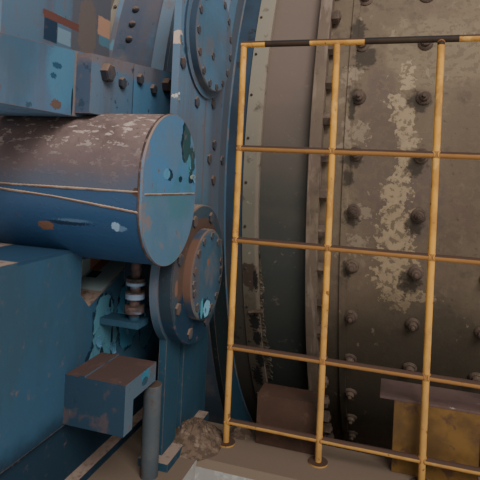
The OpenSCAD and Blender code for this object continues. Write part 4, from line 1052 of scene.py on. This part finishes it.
bolt_up("pad_bolts", fastener(0.05, 0.022),
        on_face(PAD_X, [(-3.718, 0.378), (-3.545, 0.426), (-3.39, 0.4)]))
bolt_up("large_bolts", fastener(0.075, 0.038), on_face(PAD_X, [(-3.86, 0.4), (-3.24, 0.445)]))
bolt_up("face_bolts", fastener(0.055, 0.014),
        on_face(0.0, [(-3.514, 0.515), (-3.303, 0.344), (-3.044, 0.368), (-2.994, 0.126),
                      (-2.984, -0.086), (-3.069, 0.039), (-2.834, 0.039), (-3.43, 0.93),
                      (-3.43, 1.15), (-3.03, 1.12), (-2.96, -0.35)]),
        on_ring(high("lower_housing").x, LOW_PLACE, 0.315, 22.5 + 45.0 * np.arange(8)))
bolt_up("cover_bolts", fastener(0.04, 0.01),
        on_ring(LOW_COVER, LOW_PLACE, 0.205,
                [139, 115, 81, 49, 11, -4, -19, -47, -72, -136, -163, -176, 166]),
        on_ring(HIGH_COVER, HIGH_PLACE, 0.265, -177.5 + 24.0 * np.arange(15)),
        on_ring(HIGH_COVER, HIGH_PLACE, 0.106, [-111.5]))
clamp_bolt = finish("clamp_bolt", (0.03, 0.025, 0.02), 0.9, [
    speckle((0.06, 0.045, 0.035), 0.9, 20.0, 0.55, 0.08, 0.8)])
bolt_up("clamp_bolts", turned([(0.0085, -SINK), (0.0085, 0.006), (0.005, 0.008)], 8),
        *[on_wheel(x, CLAMP_R, CLAMP_BOLTS, CLAMP_PHASE) for x in (
            high("seal_clamps").x - SEAL_EDGE, low("seal_clamps").x + SEAL_EDGE)],
        material=clamp_bolt, slot="seal_paint")
bolt_up("wall_bolts", turned([(0.026, -SINK), (0.025, 0.008), (0.018, 0.018), (0.008, 0.022)],
                             14), on_wheel(WALL_X, GUARD_R, 164, 0.35, 14.5, 172.0))
rim_bolt = fastener(0.05, 0.034, 0.032, 0.005)
bolt_up("rim_bolts", rim_bolt, on_wheel(0.0, 2.93, 60, 0.0, 33.0, 321.0, 1.0),
        on_wheel(GUARD_LEFT, 2.93, 60, 0.0, 33.0, 321.0, -1.0))
bolt_up("split_bolts", rim_bolt, *[
    upright([(x, SPLIT_Y, SPLIT_Z + way * SPLIT_HALF)
             for x in np.arange(GUARD_LEFT + 0.1, -0.06, 0.13)], way) for way in (1.0, -1.0)])

# %% [markdown]
# The bearing's cap and foot are held by large nuts with washers and studs. They stand in rows,
# and their places are worked out from the boxes of the solids. Typed places would be shorter,
# but the nuts would hang in the air if the bearing moved in the CAD.

# %% Bolts of the trunnion bearing
base_low, base_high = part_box("bearing_base")
bolt_up("bearing_bolts", fastener(0.075, 0.055, 0.055, 0.01, 0.024, 0.03), upright([
    (x, y, AXIS + 0.12) for x in np.linspace(low("bearing_cap").x + 0.13,
                                             high("bearing_cap").x - 0.13, 3)
    for y in (-1.0, 1.0)]))
bolt_up("bearing_foot_bolts", fastener(0.055, 0.04, 0.038, 0.007, 0.016, 0.03), upright([
    (x, y, base_low.z + 0.12) for x in (base_low.x + 0.04, base_high.x - 0.04)
    for y in (-1.05, -0.65, -0.25, 0.25, 0.65, 1.05)]))

# %% [markdown]
# A weld is a low rib with ripples where the arc moved on. It is a half-round section carried
# along the seam, a little fatter and thinner as it goes. Drawn as bump only, it would vanish
# from the side, where the real one shows its height.

# %% Weld beads
def bead(path, normal, width, proud, ripple=0.02, closed=False, seed=1):
    """A rib along a path: at angle a its section is half width cos a across the seam and
    proud sin a off the surface, both scaled by 1 + ripple wave + slow unevenness."""
    path = np.array(path, float)
    normal = np.broadcast_to(np.array(normal, float), path.shape)
    if closed:
        path, normal = (np.vstack([rows, rows[:1]]) for rows in (path, normal))
    along = np.append(0.0, np.cumsum(np.linalg.norm(np.diff(path, axis=0), axis=1)))
    rows = max(int(along[-1] / (ripple * 0.5)), 8)
    s = np.linspace(0.0, along[-1], rows, endpoint=not closed)
    centre, normal = (np.column_stack([np.interp(s, along, values[:, k]) for k in range(3)])
                      for values in (path, normal))
    tangent = (np.roll(centre, -1, 0) - np.roll(centre, 1, 0) if closed
               else np.gradient(centre, axis=0))
    tangent /= np.linalg.norm(tangent, axis=1, keepdims=True)
    across = np.cross(tangent, normal)
    across /= np.linalg.norm(across, axis=1, keepdims=True)
    knots = max(rows // 12, 4)
    slow = np.interp(s, np.linspace(0, along[-1], knots),
                     np.random.default_rng(seed).uniform(-1, 1, knots))
    size = 1.0 + 0.16 * np.sin(TURN * s / ripple) + 0.25 * slow
    a = np.radians([-25.0, 20.0, 60.0, 90.0, 120.0, 160.0, 205.0])
    return sleeve(centre[:, None] + size[:, None, None] * (
        across[:, None] * (width / 2 * np.cos(a))[None, :, None]
        + normal[:, None] * (proud * np.sin(a))[None, :, None]), closed)


def beam_path(x, points=96):
    """The outline of the cross beam at a place along it, two half rounds and two flats, with
    the way out from each point."""
    half = (beam_high.y - beam_low.y) / 2
    flat = (beam_high.z - beam_low.z) / 2 - half
    a = TURN * np.arange(points) / points
    out = np.stack([np.zeros_like(a), np.cos(a), np.sin(a)], -1)
    middle = [x, (beam_low.y + beam_high.y) / 2, (beam_low.z + beam_high.z) / 2]
    return out * half + middle + np.where(np.sin(a) > 0, flat, -flat)[:, None] * ALONG_Z, out

# %% [markdown]
# The beam has two long seams and a bead round each end, its caps have one across, and the guard's
# necks are welded to the side plates all the way round. Each path comes from the box of a solid,
# so a seam stays in its corner.

# %% Weld the beam, its caps and the necks
rough_weld = finish("rough_weld", (0.12, 0.075, 0.055), 0.85, [
    speckle((0.22, 0.15, 0.11), 0.9, 11.0, 0.52, 0.08, 0.9),
    speckle(RUST, 0.9, 7.0, 0.6, 0.06, 0.8),
    layer("settled", (0.3, 0.22, 0.165), 0.95, Level=0.4, Grain=20.0)])
blue_weld = finish("blue_weld", (0.04, 0.075, 0.11), 0.65, [
    speckle((0.12, 0.09, 0.075), 0.85, 8.0, 0.56, 0.08, 0.9),
    layer("settled", (0.17, 0.12, 0.095), 0.95, Level=0.5)])
rusty_weld = finish("rusty_weld", (0.075, 0.045, 0.035), 0.9, [
    speckle((0.03, 0.022, 0.02), 0.9, 12.0, 0.52, 0.08, 0.8),
    speckle((0.17, 0.11, 0.085), 0.9, 22.0, 0.6, amount=0.7)])
beam_low, beam_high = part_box("cross_beam")
make_piece("beam_welds", joined(*[
    bead([(x, beam_low.y, AXIS + z) for x, z in line], FRONT, 0.011, 0.005, seed=seed)
    for seed, line in ((2, [(beam_low.x, -0.118), (beam_high.x, -0.118)]),
                       (3, [(beam_low.x, -0.12), (-0.32, -0.157), (beam_high.x, -0.2)]))]),
    rough_weld)
make_piece("ring_welds", joined(*[
    bead(*beam_path(x), 0.01, 0.0035, closed=True, seed=seed)
    for seed, x in ((4, beam_high.x - 0.002), (5, beam_low.x + 0.002))]),
    rusty_weld)
make_piece("cap_welds", joined(*[
    bead([(x, beam_low.y + 0.02, AXIS - 0.128), (x, beam_high.y - 0.01, AXIS - 0.143)],
         (side, 0.0, 0.0), 0.01, 0.0035, seed=seed)
    for seed, x, side in ((6, high("beam_caps").x, 1.0), (7, low("beam_caps").x, -1.0))]),
    rough_weld)
neck_turn = TURN * np.arange(720) / 720
neck_out = np.stack([np.zeros_like(neck_turn), -np.cos(neck_turn), np.sin(neck_turn)], -1)
make_piece("neck_welds", joined(*[
    bead(neck_out * (high("guard_necks").z - AXIS) + [x, 0.0, AXIS],
         (neck_out + [side, 0.0, 0.0]) / 1.414, 0.022, 0.008, ripple=0.03, closed=True, seed=seed)
    for seed, x, side in ((8, 0.0, 1.0), (9, GUARD_LEFT, -1.0))]), blue_weld)

# %% [markdown]
# Every rail of the fence has a small bead round it on both sides of each post. The top rail's
# goes round the post's end, under the rail.

# %% Welds of the fence
FENCE_Y, TUBE_R = -(SHELL_R + 0.55), 0.017
POSTS = 0.24 + 0.5 * np.arange(7)
FENCE_RAILS = WALK + np.array([0.12, 0.524, 1.105, 1.602, 2.165])
LAST_POST, TOP_RAIL = len(POSTS) - 1, len(FENCE_RAILS) - 1
a = TURN * np.arange(12) / 12
saddle = TUBE_R * np.sqrt(1.0 - 0.8 * np.cos(a) ** 2)[:, None]
collars = []
for k, j, side in [(k, j, side) for k in range(len(POSTS)) for j in range(len(FENCE_RAILS))
                   for side in (-1.0, 1.0)]:
    if (k, side) in ((0, -1.0), (LAST_POST, 1.0)) or (j, side) == (TOP_RAIL, -1.0):
        continue
    circle, way = np.stack([np.zeros(12), np.cos(a), np.sin(a)], -1), [side, 0.0, 0.0]
    if j == TOP_RAIL:
        circle, way = circle[:, [2, 1, 0]], [0.0, 0.0, -1.0]
    collars.append(bead(circle * TUBE_R + [POSTS[k], FENCE_Y, FENCE_RAILS[j]] + saddle * way,
                        (circle + way) / math.sqrt(2.0), 0.009, 0.0028, ripple=0.012,
                        closed=True, seed=100 + 20 * k + 2 * j + int(side > 0)))
fence_weld = finish("fence_weld", (0.38, 0.18, 0.045), 0.7, [
    speckle((0.13, 0.05, 0.02), 0.85, 20.0, 0.5, 0.1, 0.7)])
make_piece("fence_welds", joined(*collars), fence_weld)

# %% [markdown]
# The seal behind the clamp is a strip of felt. Its free edge has been torn by the years, so the
# strip is drawn as a closed skin whose outer edge wanders: it hangs out further lower down.

# %% Torn felt at the seal
FELT_ANGLES = [-34.0, -31.0, -25.0, -21.0, -16.5, -12.5, -10.5]
FELT_REACH = [0.035, 0.045, 0.035, 0.02, 0.03, 0.012, 0.003]
FELT_ROWS, FELT_ROOT, FELT_IN = 420, 0.012, BAND_R + 0.0095
felt_draw = np.random.default_rng(21)


def wander(count, knots):
    """A smooth random line between -1 and 1."""
    return np.interp(np.linspace(0, 1, count), np.linspace(0, 1, knots),
                     felt_draw.uniform(-1, 1, knots))


degrees = np.linspace(FELT_ANGLES[0], FELT_ANGLES[-1], FELT_ROWS)
reach = np.interp(degrees, FELT_ANGLES, FELT_REACH)
reach = np.maximum(reach + 0.3 * wander(FELT_ROWS, 60) * reach
                   + 0.005 * wander(FELT_ROWS, 210), 0.002)[:, None]
lift = 0.006 + 0.006 * (wander(FELT_ROWS, 80)[:, None] + 1.0)
thick = 0.006 + 0.003 * wander(FELT_ROWS, 150)[:, None]
out = np.linspace(0.0, 1.0, 9)
felt_x = high("seal_clamps").x - FELT_ROOT + (reach + FELT_ROOT) * out
under = FELT_IN + lift * out ** 2
over = under + thick * (1.0 - 0.7 * out ** 3)
felt_x = np.concatenate([felt_x, felt_x[:, ::-1]], 1)
felt_r = np.concatenate([under, over[:, ::-1]], 1)
a = np.radians(degrees)[:, None]
felt = finish("felt", (0.075, 0.06, 0.042), 0.95, [
    speckle((0.14, 0.115, 0.09), 0.95, 26.0, 0.58, 0.08, 0.8, 0.001),
    speckle((0.02, 0.018, 0.014), 0.95, 12.0, 0.56, 0.06, 0.9, -0.001)])
make_piece("torn_felt", sleeve(np.stack(
    [felt_x, -felt_r * np.cos(a), AXIS + felt_r * np.sin(a)], -1)), felt)

# %% [markdown]
# A bent scrap of sheet sticks out of the clamp low down, where the felt is torn. It could be a
# plane with a Solidify modifier, but its fold is easier to shape as a loop of its own thickness
# that is carried along the scrap.

# %% Bent sheet on the clamp
SHEET_ANGLE, SHEET_T = math.radians(-20.4), 0.004
SHEET_BASE, SHEET_FROM, SHEET_TO = BAND_R + 0.044, 0.152, 0.262
FOLD_OUT, FOLD_DOWN = (0.0, 0.012, 0.018, 0.02), (0.0, 0.003, 0.002, -0.006)
fold_out, fold_down = (np.interp(np.linspace(0, 3, 31), range(4), line)
                       for line in (FOLD_OUT, FOLD_DOWN))
along = np.linspace(0.0, 1.0, 25)[:, None]
sheet_out = SHEET_BASE - SINK + fold_out * (1.0 + 0.8 * along)
sheet_drop = fold_down + 0.003 * wander(25, 7)[:, None] + 0.03 * along
loop_out = np.concatenate([sheet_out, sheet_out[:, ::-1] - 0.3 * SHEET_T], 1)
loop_drop = np.concatenate([sheet_drop, sheet_drop[:, ::-1] - SHEET_T], 1)
loop_x = np.broadcast_to(SHEET_FROM + (SHEET_TO - SHEET_FROM) * along, loop_out.shape)
bent_sheet = finish("bent_sheet", (0.085, 0.066, 0.05), 0.85, [
    speckle((0.15, 0.12, 0.09), 0.9, 16.0, 0.58, 0.06, 0.8),
    speckle(RUST_DARK, 0.9, 9.0, 0.56, 0.08, 0.7)])
make_piece("bent_sheet", sleeve(np.stack([
    loop_x, -loop_out * math.cos(SHEET_ANGLE),
    AXIS + loop_out * math.sin(SHEET_ANGLE) + loop_drop], -1)), bent_sheet)

# %% [markdown]
# Spilled ore lies in two small heaps behind the frame's legs. Grains could be scattered one by
# one, but at this size a lumpy cone with the grains in its finish looks the same, and it closes
# at its foot as a solid does.

# %% Spilled ore behind the legs
def heap(name, place, radius, tall, seed, rings=26, sides=72):
    """A lumpy cone with a closed, flat foot."""
    draw = np.random.default_rng(seed)
    out = np.linspace(1.0, 0.0, rings)[:-1, None]
    angle = TURN * np.arange(sides) / sides
    knots = draw.uniform(-1, 1, 12)
    rim = 1.0 + 0.14 * np.interp(angle, np.linspace(0, TURN, 13), np.append(knots, knots[0]))
    rough, fine = draw.uniform(-1, 1, (2, rings - 1, sides))
    height = tall * (1.0 - out ** 1.3) * (1.0 + 0.1 * rough)
    height = np.maximum(height + 0.03 * tall * fine * (out < 0.98), 0.001)
    x = place[0] + radius * out * rim * np.cos(angle)
    y = place[1] + radius * out * rim * np.sin(angle)
    foot = np.stack([x[0], y[0], np.full(sides, place[2] - 0.002)], -1)
    skin = np.stack([x, y, place[2] + height], -1)
    make_piece(name, sleeve(np.concatenate([foot[None], skin])), ore)


ore = finish("ore", (0.1, 0.066, 0.045), 0.98, [
    speckle((0.05, 0.034, 0.024), 0.98, 30.0, 0.52, 0.06, 0.8, 0.002),
    speckle((0.17, 0.12, 0.085), 0.98, 18.0, 0.58, amount=0.7, lift=0.001)])
heap("ore_heap", (0.07, -3.3, WALK), 0.18, 0.12, 3)
heap("ore_by_kerb", (0.28, -3.12, WALK), 0.07, 0.05, 4)

# %% [markdown]
# Old paint lets go in flakes whose edges curl away from the steel. Most of them are drawn in the
# finishes, as a patch that lies a little lower. A few large ones stand off as real curled chips.

# %% Curled flakes of paint
FLAKE_SEED, FLAKE_T, CURL = 50, 0.0013, 0.35
CAP_X = high("beam_caps").x
FLAKES = [
    (CAP_X, -3.545, -0.055, 0.022, 0.03), (CAP_X, -3.60, 0.0, 0.016, 0.02),
    (0.0, -3.54, 0.35, 0.018, 0.026), (0.0, -3.545, 0.65, 0.024, 0.034),
    (-0.3, -3.62, -0.74, 0.05, 0.06), (-0.3, -3.70, -0.86, 0.04, 0.05),
    (-0.3, -3.56, -0.93, 0.05, 0.07), (-0.3, -3.38, -0.72, 0.04, 0.05),
    (-0.3, -3.43, -0.86, 0.045, 0.06), (-0.3, -3.22, -0.84, 0.03, 0.05),
    (LOW_COVER, -3.332, -0.761, 0.016, 0.022)]


def flake(x, y, z, width, height, seed, rows=9, columns=8):
    """A closed chip that hangs from a place on a face that looks along X. It lifts by its curl
    times the square of the way from its root, and its outline wanders."""
    draw = np.random.default_rng(seed)
    down = np.linspace(0.0, 1.0, rows)[:, None]
    across = np.linspace(-0.5, 0.5, columns)[None, :]
    edge = 1.0 + 0.35 * draw.uniform(-1, 1, (rows, 1))
    taper = np.sqrt(np.maximum(1.0 - down ** 2 * 0.85, 0.05))
    sideways = width * across * edge * taper
    hang = -height * down * (1.0 + 0.12 * draw.uniform(-1, 1, (1, columns)))
    off = np.broadcast_to(CURL * width * down ** 2 + 0.002, sideways.shape)
    front = np.stack([x + off, y + sideways, AXIS + z + hang], -1)
    back = front - [FLAKE_T, 0.0, 0.0]
    return sleeve(np.concatenate([front, back[:, ::-1]], 1))


teal_chip = finish("teal_chip", (0.05, 0.13, 0.19), 0.6, [
    speckle((0.02, 0.06, 0.09), 0.7, 20.0, 0.55, 0.06, 0.8),
    layer("worn", PALE_BLUE, 0.7, Radius=0.002, Level=0.1, Amount=0.6)])
make_piece("paint_chips", joined(*[flake(*spot, FLAKE_SEED + k) for k, spot in enumerate(FLAKES)]),
           teal_chip, smooth=False)

# %% [markdown]
# The machine stands in a plain studio: one large soft lamp high at the front right, where the
# light in the picture comes from, a weaker one behind, and a pale floor.

# %% Light the studio
def area_lamp(name, place, aim, size, power):
    """A square lamp at a place, turned to an aim."""
    lamp = bpy.data.lights.new(name, "AREA")
    lamp.size, lamp.energy = size, power
    holder = bpy.data.objects.new(name, lamp)
    turn = (Vector(aim) - Vector(place)).to_track_quat("-Z", "Y").to_matrix().to_4x4()
    holder.matrix_world = Matrix.Translation(place) @ turn
    bpy.context.scene.collection.objects.link(holder)
    print(name, "lamp", size, "m across,", power, "watts")


area_lamp("key", (6.3, -11.9, 11.8), (0.0, -2.5, 3.4), 7.0, 2250.0)
area_lamp("back", (-9.0, 11.0, 12.0), (0.0, 0.0, 3.0), 8.0, 1500.0)

world = bpy.data.worlds.new("studio")
bpy.context.scene.world = world
world.use_nodes = True
tree = world.node_tree
tree.nodes.clear()
path = add_node(tree, "LightPath").outputs
seen = number(tree, "ADD", path["Is Camera Ray"],
              number(tree, "ADD", path["Is Glossy Ray"], path["Is Transmission Ray"]), clamp=True)
soft, white = (add_node(tree, "Background", {"Color": EVEN, "Strength": strength}).outputs[0]
               for strength in (0.6, 1.0))
mixed = add_node(tree, "MixShader", {0: seen, 1: soft, 2: white})
tree.links.new(mixed.outputs[0], tree.nodes.new("ShaderNodeOutputWorld").inputs["Surface"])

FLOOR = 40.0
floor_mesh = bpy.data.meshes.new("floor")
floor_mesh.from_pydata([(-FLOOR, -FLOOR, 0), (FLOOR, -FLOOR, 0), (FLOOR, FLOOR, 0),
                        (-FLOOR, FLOOR, 0)], [], [(0, 1, 2, 3)])
floor = bpy.data.objects.new("floor", floor_mesh)
bpy.context.scene.collection.objects.link(floor)
floor_mesh.materials.append(finish("studio_floor", (0.8, 0.8, 0.79), 0.9, [
    speckle((0.76, 0.76, 0.75), 0.9, 0.4, 0.5, 0.2)], grain=(20.0, 0.0)))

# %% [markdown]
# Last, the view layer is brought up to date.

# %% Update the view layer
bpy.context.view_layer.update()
